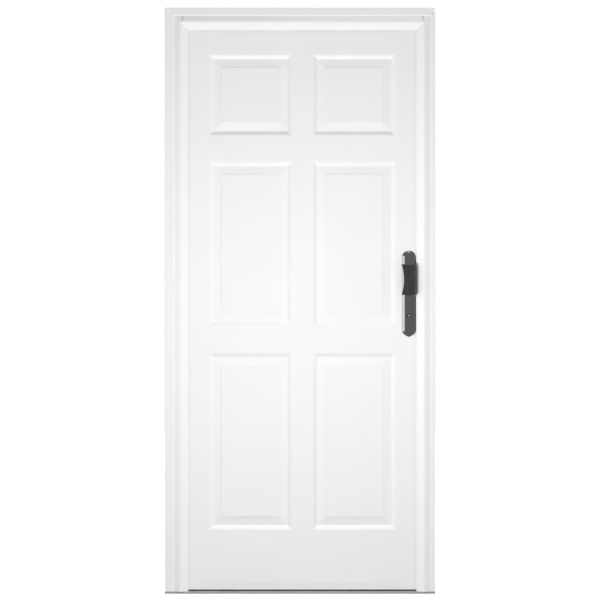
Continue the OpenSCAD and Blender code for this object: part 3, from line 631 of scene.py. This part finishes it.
def deliver(obj: Piece, body: str, slot: str, nodes: Sequence[str],
            finish: Finish | None = None) -> None:
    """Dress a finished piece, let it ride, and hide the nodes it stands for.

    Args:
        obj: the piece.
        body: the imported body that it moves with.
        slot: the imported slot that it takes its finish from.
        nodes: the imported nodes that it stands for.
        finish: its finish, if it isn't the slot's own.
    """
    obj.data.materials.clear()
    obj.data.materials.append((finish or SLOT_FINISHES[slot]).material())
    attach(obj, body)
    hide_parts(*nodes)
    LOG.info("%s: %d vertices, on %s", obj.name, len(obj.data.vertices), body)


# ---- Frame ----


class Member(Enum):
    """The frame's three lengths of one section."""

    HINGE_JAMB = "hinge_jamb"
    LOCK_JAMB = "lock_jamb"
    HEAD = "frame_head"


@dataclass
class DoorFrame:
    """Folded steel frame: one moulded section, mitred at the head, with its seals."""

    hinge_face: float = 31 * MM
    lock_face: float = 14.5 * MM
    head_face: float = 26 * MM
    flank: float = 23 * MM
    nose: float = 28 * MM
    crest: float = 3 * MM
    groove: float = 4.8 * MM
    shoulder: float = 1 * MM
    brow: float = 2.5 * MM
    brow_radius: float = 9 * MM
    nose_drop: float = 12 * MM
    stop: float = 17 * MM
    rebate: float = 14.5 * MM
    lip: float = 14 * MM
    back_inset: float = 6 * MM
    sheet: float = 1.2 * MM
    fold: float = 1.6 * MM
    fixing: float = 5.2 * MM
    fixing_low: float = 250 * MM
    slit: tuple[float, float] = (3 * MM, 20 * MM)
    slit_lean: float = 14.0
    slit_place: tuple[float, float] = (4 * MM, 2 * MM)
    slit_reach: tuple[float, float] = (2 * MM, 3 * MM)
    window: float = 8.2 * MM
    window_clear: tuple[float, float, float] = (5 * MM, 2.2 * MM, 2.2 * MM)
    fixings: int = 4
    fixing_reach: float = 5 * MM
    bulb_power: float = 0.7
    bulb_points: int = 25

    def __post_init__(self) -> None:
        """Read the frame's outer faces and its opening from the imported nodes."""
        hinge, lock = Box("hinge_jamb"), Box("lock_jamb")
        self.left, self.right = hinge.low[0], lock.high[0]
        self.front, self.back = hinge.low[1], hinge.high[1]
        self.base, self.top = hinge.low[2], Box("frame_head").high[2]
        moulding = self.flank + self.nose
        self.opening_left = self.left + self.hinge_face + moulding
        self.opening_right = self.right - self.lock_face - moulding
        self.opening_top = self.top - self.head_face - moulding
        self.leaf_mid = (Box("outer_skin").low[1] + Box("inner_skin").high[1]) / 2

    def section(self, face: float) -> Array:
        """Visible side of the section, as (distance in from the outer edge, depth from crest).

        A flat face steps down into a groove, a straight flank rises from it to the rounded
        crest, and a straight nose falls from the crest to the opening. Behind that come the
        stop, the rebate and the back flange with its lip.
        """
        crest = face + self.flank
        end = crest + self.nose
        depth = self.back - self.front
        fold = self.fold
        corners = [(0, self.crest + self.lip), (0, self.crest), (face, self.crest),
                   (face + self.shoulder, self.groove), (crest - self.brow, 0),
                   (crest + self.brow, 0), (end, self.nose_drop), (end, self.stop),
                   (end - self.rebate, self.stop), (end - self.rebate, depth),
                   (self.back_inset, depth), (self.back_inset, depth - self.lip)]
        radii = [0, fold, self.shoulder, self.shoulder, self.brow_radius, self.brow_radius,
                 fold, fold, fold, fold, fold, 0]
        return rounded(corners, radii)

    def member(self, kind: Member) -> Piece:
        """One length of the section, cut at 45 degrees from the opening's top corners.

        A point of the section runs between two planes: on a jamb from the threshold up to the
        mitre, whose height grows as the point lies further out, and on the head from mitre to
        mitre.

        Args:
            kind: which length.

        Returns:
            The bent sheet with its thickness.
        """
        face = {Member.HINGE_JAMB: self.hinge_face, Member.LOCK_JAMB: self.lock_face,
                Member.HEAD: self.head_face}[kind]
        out, depth = self.section(face).T
        y = self.front + depth
        if kind is Member.HEAD:
            z = self.top - out
            rise = z - self.opening_top
            ends = [np.maximum(self.opening_left - rise, self.left),
                    np.minimum(self.opening_right + rise, self.right)]
            rows = [np.stack([x, y, z], -1) for x in ends]
        else:
            hinge = kind is Member.HINGE_JAMB
            x = self.left + out if hinge else self.right - out
            rise = self.opening_left - x if hinge else x - self.opening_right
            high = np.minimum(self.opening_top + rise, self.top)
            rows = [np.stack([x, y, z], -1) for z in (np.full_like(x, self.base), high)]
            if not hinge:
                rows.reverse()
        obj = new_object(f"{kind.value}_sheet", grid_patch(np.stack(rows)), closed=False)
        thicken(obj, self.sheet)
        return obj

    def fixing_holes(self, x: float) -> list[Patch]:
        """Round cutters for the wall fixings through one rebate face."""
        heights = np.linspace(self.fixing_low, self.top - self.fixing_low, self.fixings)
        drill = cutter_profile(self.fixing, -self.fixing_reach, self.fixing_reach)
        return [turned_patch(drill, 0, (x, self.leaf_mid, z)) for z in heights]

    def strike_windows(self, x: float) -> list[Patch]:
        """Cutters behind the strike's two windows, a little larger than they are."""
        clear = np.array(self.window_clear)
        cutters = []
        for node in ("deadbolt", "latch_roller"):
            box = Box(node)
            low, high = box.low.copy(), box.high.copy()
            low[0] = high[0] = x
            low[1], high[1] = self.leaf_mid - self.window, self.leaf_mid + self.window
            cutters.append(box_patch(low - clear * (1, 0, 1), high + clear * (1, 0, 1)))
        return cutters

    def slit_cutter(self, side: int) -> Patch:
        """Leaning slot through the crest beside a mitred corner; side is 1 left, -1 right."""
        width, length = self.slit
        x = (self.opening_left - self.nose if side > 0 else self.opening_right + self.nose)
        x += side * self.slit_place[0]
        z = self.opening_top + self.nose + self.slit_place[1]
        lean = math.radians(side * self.slit_lean)
        flat = np.array([(0, 0), (width, 0), (width, length), (0, length)])
        turned = np.stack([x + flat[:, 0] * math.cos(lean) + flat[:, 1] * math.sin(lean),
                           z - flat[:, 0] * math.sin(lean) + flat[:, 1] * math.cos(lean)], -1)
        before, behind = self.slit_reach
        return prism_patch(turned, 1, self.front - before, self.front + self.groove + behind)

    def seal(self, node: str, axis: int) -> Piece:
        """Rubber bulb along a stop: half a flattened round over a flat foot.

        Args:
            node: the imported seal, whose box the bulb fills.
            axis: the axis that it runs along.

        Returns:
            The seal.
        """
        box = Box(node)
        across = 0 if axis == 2 else 2
        turn = np.linspace(0, math.pi, self.bulb_points)
        wide = box.size[across] / 2
        power = self.bulb_power
        side = box.centre[across] + wide * np.sign(np.cos(turn)) * np.abs(np.cos(turn)) ** power
        lift = box.low[1] + box.size[1] * np.sin(turn) ** power
        outline = np.stack([side, lift] if across == 0 else [lift, side], -1)
        if across == 0:
            patch = prism_patch(outline, 2, box.low[2], box.high[2])
        else:
            patch = prism_patch(outline, 0, box.low[0], box.high[0])
        return new_object(f"{node}_bulb", patch)

    def build(self) -> None:
        """Make and deliver the frame's pieces."""
        rebates = {Member.HINGE_JAMB: self.opening_left - self.rebate,
                   Member.LOCK_JAMB: self.opening_right + self.rebate}
        for kind in Member:
            obj = self.member(kind)
            if kind is Member.HEAD:
                cut(obj, [self.slit_cutter(1), self.slit_cutter(-1)])
            else:
                cutters = self.fixing_holes(rebates[kind])
                if kind is Member.LOCK_JAMB:
                    cutters += self.strike_windows(rebates[kind])
                cut(obj, cutters)
            steady_normals(obj)
            deliver(obj, "frame", "white_enamel", [kind.value])
        for node, axis in (("hinge_seal", 2), ("lock_seal", 2), ("head_seal", 0)):
            deliver(self.seal(node, axis), "frame", "seal_rubber", [node])


# ---- Leaf ----


class Side(Enum):
    """The leaf's two faces, with the direction in which each looks along Y."""

    OUTSIDE = -1
    ROOM = 1

    @property
    def skin(self) -> str:
        """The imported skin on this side."""
        return "outer_skin" if self is Side.OUTSIDE else "inner_skin"

    @property
    def prefix(self) -> str:
        """How the names of this side's handle pieces start."""
        return "outer" if self is Side.OUTSIDE else "inner"

    def face(self) -> float:
        """Where this side's face lies along Y."""
        box = Box(self.skin)
        return box.low[1] if self is Side.OUTSIDE else box.high[1]


@dataclass
class PressedSkin:
    """One skin of the leaf: six panels pressed into sheet, with its edges folded back."""

    side: Side
    stile: float = 82 * MM
    mullion: float = 73 * MM
    rails: tuple[float, float, float, float] = (211 * MM, 93 * MM, 91 * MM, 94 * MM)
    shares: tuple[float, float, float] = (0.419, 0.389, 0.192)
    outer_slope: float = 15 * MM
    valley: float = 4 * MM
    depth: float = 8 * MM
    inner_slope: float = 26 * MM
    field_depth: float = 2 * MM
    lip: float = 4 * MM
    lip_depth: float = 0.9 * MM
    step: float = 1.8 * MM
    sheet: float = 0.8 * MM
    fold: float = 12 * MM
    fold_radius: float = 1.6 * MM
    margins: tuple[float, float] = (5 * MM, 7 * MM)
    bends: tuple[float, ...] = (0, 1.2 * MM, 1.5 * MM, 2 * MM, 2 * MM, 0.4 * MM, 0.4 * MM, 0)

    def __post_init__(self) -> None:
        """Read the leaf's outline and work out where its panels lie."""
        box = Box(self.side.skin)
        self.low, self.high = box.low[[0, 2]], box.high[[0, 2]]
        width, height = self.high - self.low
        panel = (width - 2 * self.stile - self.mullion) / 2
        left = self.low[0] + self.stile
        self.columns = [(left, left + panel), (left + panel + self.mullion,
                                               left + 2 * panel + self.mullion)]
        free = height - sum(self.rails)
        self.rows = []
        z = self.low[1]
        for rail, share in zip(self.rails, self.shares):
            z += rail
            self.rows.append((z, z + share * free))
            z += share * free

    def profile(self) -> Array:
        """Pressed moulding as (distance in from the panel's edge, depth), without its flats.

        A slope falls from a shallow lip to a narrow valley, a longer one rises from it to the
        field's edge, and a small steep step brings it up to the field.
        """
        foot = self.outer_slope + self.valley
        head = foot + self.inner_slope
        before, after = self.margins
        corners = [(-before, 0), (0, 0), (self.lip, self.lip_depth),
                   (self.outer_slope, self.depth), (foot, self.depth),
                   (head, self.field_depth + self.step),
                   (head + self.step / 2, self.field_depth), (head + after, self.field_depth)]
        return rounded(corners, self.bends)[1:-1]

    def lines(self, low: float, high: float, spans: Sequence[tuple[float, float]]) -> Array:
        """Grid lines along one axis: both ends, and the profile's points from each panel's edges."""
        marks = self.profile()[:, 0]
        inner = [np.concatenate([start + marks, end - marks]) for start, end in spans]
        return np.unique(np.concatenate([[low, high], *inner]))

    def depth_at(self, x: Array, z: Array) -> Array:
        """Depth of the pressing: the profile taken at the distance to the nearest panel's edge."""
        inside = np.full(np.broadcast(x, z).shape, -1.0)
        for x0, x1 in self.columns:
            for z0, z1 in self.rows:
                here = np.minimum(np.minimum(x - x0, x1 - x), np.minimum(z - z0, z1 - z))
                inside = np.maximum(inside, here)
        marks = self.profile()
        return np.interp(inside, marks[:, 0], marks[:, 1])

    def split_cells(self, x: Array, z: Array, depth: Array) -> list[list[int]]:
        """Faces of the grid, with bent cells split along the diagonal that fits the pressing.

        A cell whose corners lie in one plane stays whole. The others are split on the diagonal
        whose middle lies nearer to the depth in the middle of the cell, which is the mitre.
        """
        quads = grid_faces(len(x), len(z))
        corner = depth.ravel()[quads]
        middle = self.depth_at((x[1:] + x[:-1])[:, None] / 2, (z[1:] + z[:-1])[None] / 2).ravel()
        first, second = (corner[:, 0] + corner[:, 2]) / 2, (corner[:, 1] + corner[:, 3]) / 2
        flat = (abs(first - second) < LEVEL) & (abs(first - middle) < LEVEL)
        use_first = abs(first - middle) <= abs(second - middle)
        a, b, c, d = quads[~flat].T
        one = np.where(use_first[~flat, None], np.stack([a, b, c], -1), np.stack([a, b, d], -1))
        two = np.where(use_first[~flat, None], np.stack([a, c, d], -1), np.stack([b, c, d], -1))
        return quads[flat].tolist() + one.tolist() + two.tolist()

    def edge(self, x: Array, z: Array) -> Array:
        """Folded edge round the face: a quarter round, then straight back.

        A station stands at each boundary vertex of the face, with its outward direction, and
        the corners' stations turn that direction by 90 degrees in place. A point of the
        profile goes out from its station by its first number and back by its second.

        Returns:
            Points of shape (stations, profile, 3).
        """
        corners = [(x[-1], z[0]), (x[-1], z[-1]), (x[0], z[-1]), (x[0], z[0])]
        sides = [np.stack([x, np.full_like(x, z[0])], -1),
                 np.stack([np.full_like(z, x[-1]), z], -1),
                 np.stack([x[::-1], np.full_like(x, z[-1])], -1),
                 np.stack([np.full_like(z, x[0]), z[::-1]], -1)]
        steps = arc_count(math.pi / 2)
        stations, bearings = [], []
        for i, (side, corner) in enumerate(zip(sides, corners)):
            bearing = -math.pi / 2 + i * math.pi / 2
            stations += [side, np.repeat([corner], steps - 1, axis=0)]
            bearings += [np.full(len(side), bearing),
                         bearing + np.linspace(0, math.pi / 2, steps + 1)[1:-1]]
        station, bearing = np.concatenate(stations), np.concatenate(bearings)
        turn = np.linspace(0, math.pi / 2, steps + 1)
        radius = self.fold_radius
        out = np.append(radius * np.sin(turn), radius)
        back = np.append(radius * (1 - np.cos(turn)), self.fold)
        across = station[:, None, 0] + out * np.cos(bearing)[:, None]
        up = station[:, None, 1] + out * np.sin(bearing)[:, None]
        return np.stack([across, np.broadcast_to(back, across.shape), up], -1)

    def build(self) -> None:
        """Make and deliver the skin."""
        inset = self.fold_radius
        x = self.lines(self.low[0] + inset, self.high[0] - inset, self.columns)
        z = self.lines(self.low[1] + inset, self.high[1] - inset, self.rows)
        depth = self.depth_at(x[:, None], z[None])
        face = np.stack(np.broadcast_arrays(x[:, None], depth, z[None]), -1)
        whole = joined([Patch(face.reshape(-1, 3), self.split_cells(x, z, depth)),
                        grid_patch(self.edge(x, z), close_rows=True)])
        flat = self.side.face()
        vertices = whole.vertices.copy()
        vertices[:, 1] = flat - self.side.value * vertices[:, 1]
        faces = whole.faces
        if self.side is Side.ROOM:
            faces = [face[::-1] for face in faces]
        obj = new_object(f"{self.side.skin}_pressing", Patch(vertices, faces), closed=False)
        thicken(obj, self.sheet)
        steady_normals(obj)
        deliver(obj, "leaf", "white_enamel", [self.side.skin])


@dataclass
class HandlePlate:
    """Cast backplate: round top, gently pointed bottom, broad bevel and a crowned face."""

    side: Side
    bevel: float = 9.5 * MM
    wall: float = 3.2 * MM
    crown: float = 0.5 * MM
    slot: tuple[float, float] = (14 * MM, 6 * MM)
    slot_corner: float = 1.5 * MM
    tip: float = 0.8
    slope: float = 0.55
    slope_power: float = 1.15
    top_points: int = 37
    base_points: int = 49
    pole: float = 0.2 * MM
    back_edge: float = 0.4 * MM
    rim_flat: float = 6 * MM
    rim_lift: float = 0.3
    rim_radii: tuple[float, float] = (1.2 * MM, 2.5 * MM)
    turn_hole: float = 4.6 * MM
    barrel_hole: float = 8.8 * MM
    web_half: float = 5.3 * MM
    web_top: float = 3 * MM
    clearance: float = 0.3 * MM
    overcut: float = 1 * MM

    def __post_init__(self) -> None:
        """Read the plate's outline and the keyhole's place."""
        box = Box(f"{self.side.prefix}_plate")
        self.x, self.width = box.centre[0], box.size[0]
        self.bottom, self.top = box.low[2], box.high[2]
        self.thick = box.size[1]
        self.key = Box("key_plug").centre

    def outline(self, inset: float) -> Array:
        """Outline moved in by an inset: half a circle on top, and a blunt point below."""
        half = self.width / 2 - inset
        low, high = self.bottom + inset, self.top - inset
        over = np.radians(np.linspace(0, 180, self.top_points))
        under = np.radians(np.linspace(180, 360, self.base_points))
        top = np.stack([half * np.cos(over), high - half + half * np.sin(over)], -1)
        # The base rises from its middle partly as a straight slope, partly as a circle's arc
        across = np.abs(np.cos(under))
        rise = self.slope * across ** self.slope_power + (1 - self.slope) * (1 + np.sin(under))
        base = np.stack([half * np.cos(under), low + self.tip * half * rise], -1)
        return np.concatenate([top, base])

    def profile(self) -> Array:
        """(Inset, height off the leaf) from the back's middle round to the crowned face's."""
        middle = self.width / 2 - self.pole
        edge = self.thick - self.crown
        level = self.bevel + self.rim_flat
        rim = rounded([(self.back_edge, 0), (0, self.back_edge), (0, self.wall),
                       (self.bevel, edge), (level, edge + self.rim_lift * self.crown)],
                      [0, 0, *self.rim_radii, 0])
        inset = np.linspace(level, middle, 7)[1:]
        reach = (middle - inset) / (middle - self.bevel)
        face = np.stack([inset, self.thick - self.crown * reach ** 2], -1)
        return np.concatenate([[(middle, 0)], rim, face])

    def keyhole(self) -> Array:
        """Outline of the key's slot: a rectangle with rounded corners, about its own middle."""
        half_w, half_h = self.slot[0] / 2, self.slot[1] / 2
        corners = [(0, half_h), (-half_w, half_h), (-half_w, -half_h), (half_w, -half_h),
                   (half_w, half_h), (0, half_h)]
        return rounded(corners, [0, *[self.slot_corner] * 4, 0])[:-1]

    def build(self) -> None:
        """Make and deliver the plate, with its keyhole or its hole for the turn."""
        flat = self.side.face()
        rings = []
        for inset, height in self.profile():
            outline = self.outline(inset)
            y = np.full(len(outline), flat + self.side.value * height)
            rings.append(np.stack([self.x + outline[:, 0], y, outline[:, 1]], -1))
        obj = new_object(f"{self.side.prefix}_plate_casting", tube_patch(np.stack(rings)))
        centre = (self.key[0], 0, self.key[2])
        start = flat - self.side.value * self.overcut
        ends = sorted([start, flat + self.side.value * (self.thick + self.overcut)])
        if self.side is Side.OUTSIDE:
            hole = prism_patch(self.keyhole() + self.key[[0, 2]], 1, *ends)
        else:
            hole = turned_patch(cutter_profile(self.turn_hole, *ends), 1, centre)
        barrel = Box("lock_cylinder")
        tip = barrel.low[1] if self.side is Side.OUTSIDE else barrel.high[1]
        ends = sorted([start, tip + self.side.value * self.clearance])
        pocket = turned_patch(cutter_profile(self.barrel_hole, *ends), 1, centre)
        web = box_patch((self.key[0] - self.web_half, ends[0], barrel.low[2] - self.clearance),
                        (self.key[0] + self.web_half, ends[1], self.key[2] - self.web_top))
        cut(obj, [hole])
        cut(obj, [pocket, web])
        steady_normals(obj)
        deliver(obj, "leaf", "dark_nickel", [f"{self.side.prefix}_plate"])


@dataclass
class PullGrip:
    """Cast grip: a foot on the plate, a spine, and a face whose free edge is waisted.

    The free side leans back in the middle of its height and comes forward at both its tips.
    """

    side: Side
    wall: float = 6.5 * MM
    ridge: float = 30 * MM
    lean: float = 2 * MM
    waist: float = 9 * MM
    edge: float = 1.6 * MM
    stations: int = 49
    foot: tuple[float, float] = (17 * MM, 25 * MM)
    foot_thin: float = 2 * MM
    knee: tuple[float, float] = (2 * MM, 14 * MM)
    drop: float = 3 * MM
    swell: float = 1 * MM
    bends: tuple[float, ...] = (0, 6 * MM, 8 * MM, 9 * MM, 4 * MM, 2.6 * MM, 2.6 * MM, 4 * MM,
                                7 * MM, 5 * MM, 1.5 * MM, 0.5 * MM, 0)
    waist_power: float = 0.8
    lean_power: float = 1.3
    lean_reach: float = 1.5
    end_angles: tuple[float, ...] = (90, 67, 45, 22)

    def __post_init__(self) -> None:
        """Read the grip's box."""
        self.box = Box(f"{self.side.prefix}_grip")

    def section(self) -> Array:
        """Closed section as (distance from the free edge, height off the plate)."""
        wide, deep = self.box.size[0], self.box.size[1]
        wall, drop = self.wall, self.drop
        toe, sole = self.foot
        inner_x, inner_y = wide - wall - self.swell, deep - wall - self.swell
        corners = [(sole, 0), (wide - self.knee[0], 0), (wide, self.knee[1]), (wide, deep),
                   (self.ridge, deep), (0, deep - drop), (0, deep - drop - wall),
                   (self.ridge, inner_y), (inner_x, inner_y), (inner_x, wall),
                   (toe, wall - self.foot_thin), (toe, 0), (sole, 0)]
        return rounded(corners, self.bends)[:-1]

    def rings(self) -> Array:
        """Sections up the grip's height, of shape (stations, points, 3).

        The share of a point's distance to the free side, 0 at the ridge and 1 at the edge,
        draws it in by the waist and back by the lean. Both follow half a sine wave up the
        height. The end sections are drawn in to round the ends.
        """
        out, height = self.section().T
        share = np.clip((self.ridge - out) / self.ridge, 0, 1)[None]
        front = (height > self.box.size[1] / 2)[None]
        t = np.linspace(0, 1, self.stations)[:, None]
        wave = np.sin(math.pi * t)
        x = out[None] + self.waist * wave ** self.waist_power * share * front
        lean = self.lean * wave ** self.lean_power * share ** self.lean_reach
        y = height[None] - lean * front
        z = t * self.box.size[2] + 0 * out[None]
        turn = np.radians(self.end_angles)[:, None]
        shrink = self.edge * (1 - np.cos(turn))
        steps = self.edge * (1 - np.sin(turn))
        low_x = self.drawn_in(x[0], y[0], shrink)
        high_x = self.drawn_in(x[-1], y[-1], shrink[::-1])
        z0, z1 = steps, self.box.size[2] - steps[::-1]
        keep = slice(1, -1)
        x = np.concatenate([low_x[0], x[keep], high_x[0]])
        y = np.concatenate([low_x[1], y[keep], high_x[1]])
        z = np.concatenate([z0 + 0 * out[None], z[keep], z1 + 0 * out[None]])
        return np.stack([self.box.low[0] + x, y, self.box.low[2] + z], -1)

    @staticmethod
    def drawn_in(x: Array, y: Array, amounts: Array) -> tuple[Array, Array]:
        """A closed section moved inwards, square to its own line, by each of several amounts."""
        along = np.stack([np.roll(x, -1) - np.roll(x, 1), np.roll(y, -1) - np.roll(y, 1)])
        along /= np.linalg.norm(along, axis=0)
        return x[None] - amounts * along[1], y[None] + amounts * along[0]

    def build(self) -> None:
        """Make and deliver the grip."""
        rings = self.rings()
        base = self.box.high[1] if self.side is Side.OUTSIDE else self.box.low[1]
        rings[..., 1] = base + self.side.value * rings[..., 1]
        obj = new_object(f"{self.side.prefix}_grip_casting", tube_patch(rings))
        deliver(obj, "leaf", "dark_nickel", [f"{self.side.prefix}_grip"], GRIP_NICKEL)


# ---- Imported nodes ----


def dress_nodes() -> None:
    """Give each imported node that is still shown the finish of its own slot."""
    for part in frame["record"]["subparts"]:
        mesh = frame["nodes"][part["node"]].data
        mesh.materials.clear()
        mesh.materials.append(SLOT_FINISHES[part["material_slot"]].material())


# ---- Stage ----


@dataclass
class Studio:
    """Pale floor, white surroundings, soft lights and the camera."""

    camera_distance: float = 5.0
    camera_height: float = 1.031
    lens: float = 85.5
    ambient: float = 0.38
    sensor: float = 36
    lamp_radius: float = 0.12
    key_distance: float = 1.0
    key_place: tuple[float, float] = (0.01, 1.0)
    key_power: float = 27.5
    strip_power: float = 9.0
    fill_place: tuple[float, float, float] = (2.4, 0.2, 1.3)
    fill_power: float = 14.0
    room_share: float = 0.88
    floor_half: float = 6.0
    floor_tone: float = 0.8
    floor_roughness: float = 0.9
    floor_glow: float = 0.75

    def world(self) -> None:
        """Even light all round, which the camera itself sees as pure white."""
        world = bpy.data.worlds.new("studio")
        bpy.context.scene.world = world
        world.use_nodes = True
        tree = world.node_tree
        tree.nodes.clear()
        ray = add(tree, "ShaderNodeLightPath").outputs["Is Camera Ray"]
        dim = add(tree, "ShaderNodeBackground", None, {"Strength": self.ambient})
        white = add(tree, "ShaderNodeBackground", None, {"Strength": 1.0})
        for node in (dim, white):
            node.inputs["Color"].default_value = (1, 1, 1, 1)
        mix = add(tree, "ShaderNodeMixShader", None,
                  {0: ray, 1: dim.outputs["Background"], 2: white.outputs["Background"]})
        add(tree, "ShaderNodeOutputWorld", None, {"Surface": mix.outputs["Shader"]})

    def floor(self) -> None:
        """White floor that glows enough to meet the background, and takes a faint shade."""
        half = self.floor_half
        plane = np.array([[(x, y, 0) for x in (-half, half)] for y in (-half, half)])
        obj = new_object("floor", grid_patch(plane[:, ::-1]), closed=False)
        material = bpy.data.materials.new("floor_paint")
        material.use_nodes = True
        shader = material.node_tree.nodes["Principled BSDF"]
        shader.inputs["Base Color"].default_value = (*[self.floor_tone] * 3, 1)
        shader.inputs["Roughness"].default_value = self.floor_roughness
        shader.inputs["Emission Color"].default_value = (1, 1, 1, 1)
        shader.inputs["Emission Strength"].default_value = self.floor_glow
        obj.data.materials.append(material)
        obj.visible_diffuse = False
        obj.visible_glossy = False

    def area_light(self, name: str, place: Sequence[float], target: Sequence[float],
                   size: tuple[float, float], power: float) -> None:
        """Panel that shows only in reflections, turned to face a target.

        Args:
            name: its name.
            place: its middle.
            target: the point that it faces.
            size: its width and height.
            power: in watts.
        """
        data = bpy.data.lights.new(name, "AREA")
        data.shape = "RECTANGLE"
        data.size, data.size_y = size
        data.energy = power
        obj = bpy.data.objects.new(name, data)
        bpy.context.scene.collection.objects.link(obj)
        obj.location = place
        aim = np.asarray(target, float) - np.asarray(place, float)
        obj.rotation_euler = (math.acos(-aim[2] / np.linalg.norm(aim)), 0,
                              math.atan2(aim[1], aim[0]) - math.pi / 2)
        obj.visible_camera = False
        obj.visible_diffuse = False

    def lamp(self, name: str, place: Sequence[float], power: float) -> None:
        """Soft round lamp, as even over the whole door as a far one, though it stands near.

        Its strength grows with the square of the distance, which cancels the weakening that a
        near lamp has, so only the angle at which its light arrives changes over the door.

        Args:
            name: its name.
            place: its middle.
            power: in watts.
        """
        data = bpy.data.lights.new(name, "POINT")
        data.energy = power
        data.shadow_soft_size = self.lamp_radius
        data.use_nodes = True
        tree = data.node_tree
        steady = add(tree, "ShaderNodeLightFalloff", None, {"Strength": 1.0})
        tree.links.new(steady.outputs["Constant"], tree.nodes["Emission"].inputs["Strength"])
        obj = bpy.data.objects.new(name, data)
        bpy.context.scene.collection.objects.link(obj)
        obj.location = place
        obj.visible_camera = False
        obj.visible_glossy = False

    @staticmethod
    def plate_middle() -> Array:
        """Middle of the outer handle plate, which the strips face."""
        return Box("outer_plate").centre

    @staticmethod
    def strips() -> dict[str, tuple[tuple[float, float, float], tuple[float, float]]]:
        """Narrow panels for the plates' bevels: each one's place and its width and height."""
        return {"strip_left": ((-1.75, 2.1, 1.05), (0.6, 1.8)),
                "strip_above": ((0.4, 1.2, 3.2), (0.9, 0.5))}

    def lights(self) -> None:
        """A lamp in front of each face, two for the opened leaf, and strips for the metal."""
        for side in (-1, 1):
            self.lamp(f"key_{'out' if side < 0 else 'in'}",
                      (self.key_place[0], side * self.key_distance, self.key_place[1]),
                      self.key_power * (1.0 if side < 0 else self.room_share))
            self.lamp(f"fill_{'left' if side < 0 else 'right'}",
                      (side * self.fill_place[0], self.fill_place[1], self.fill_place[2]),
                      self.fill_power)
            for strip, (place, size) in self.strips().items():
                self.area_light(f"{strip}_{'out' if side < 0 else 'in'}",
                                (place[0], side * place[1], place[2]), self.plate_middle(), size,
                                self.strip_power)

    def camera(self) -> None:
        """Level camera straight in front of the door, at half its height."""
        data = bpy.data.cameras.new("camera")
        data.lens = self.lens
        data.sensor_width = self.sensor
        obj = bpy.data.objects.new("camera", data)
        bpy.context.scene.collection.objects.link(obj)
        front = Box("hinge_jamb").low[1]
        obj.location = (0, front - self.camera_distance, self.camera_height)
        obj.rotation_euler = (math.pi / 2, 0, 0)
        bpy.context.scene.camera = obj

    def build(self) -> None:
        """Set up the whole stage."""
        self.world()
        self.floor()
        self.lights()
        self.camera()
        bpy.context.scene.view_settings.view_transform = "Standard"
        LOG.info("studio ready")


def main() -> None:
    """Build each sub-assembly in order."""
    logging.basicConfig(level=logging.INFO, format="%(name)s %(message)s")
    dress_nodes()
    DoorFrame().build()
    for side in Side:
        PressedSkin(side).build()
        HandlePlate(side).build()
        PullGrip(side).build()
    Studio().build()
    bpy.context.view_layer.update()


if __name__ == "__main__":
    main()
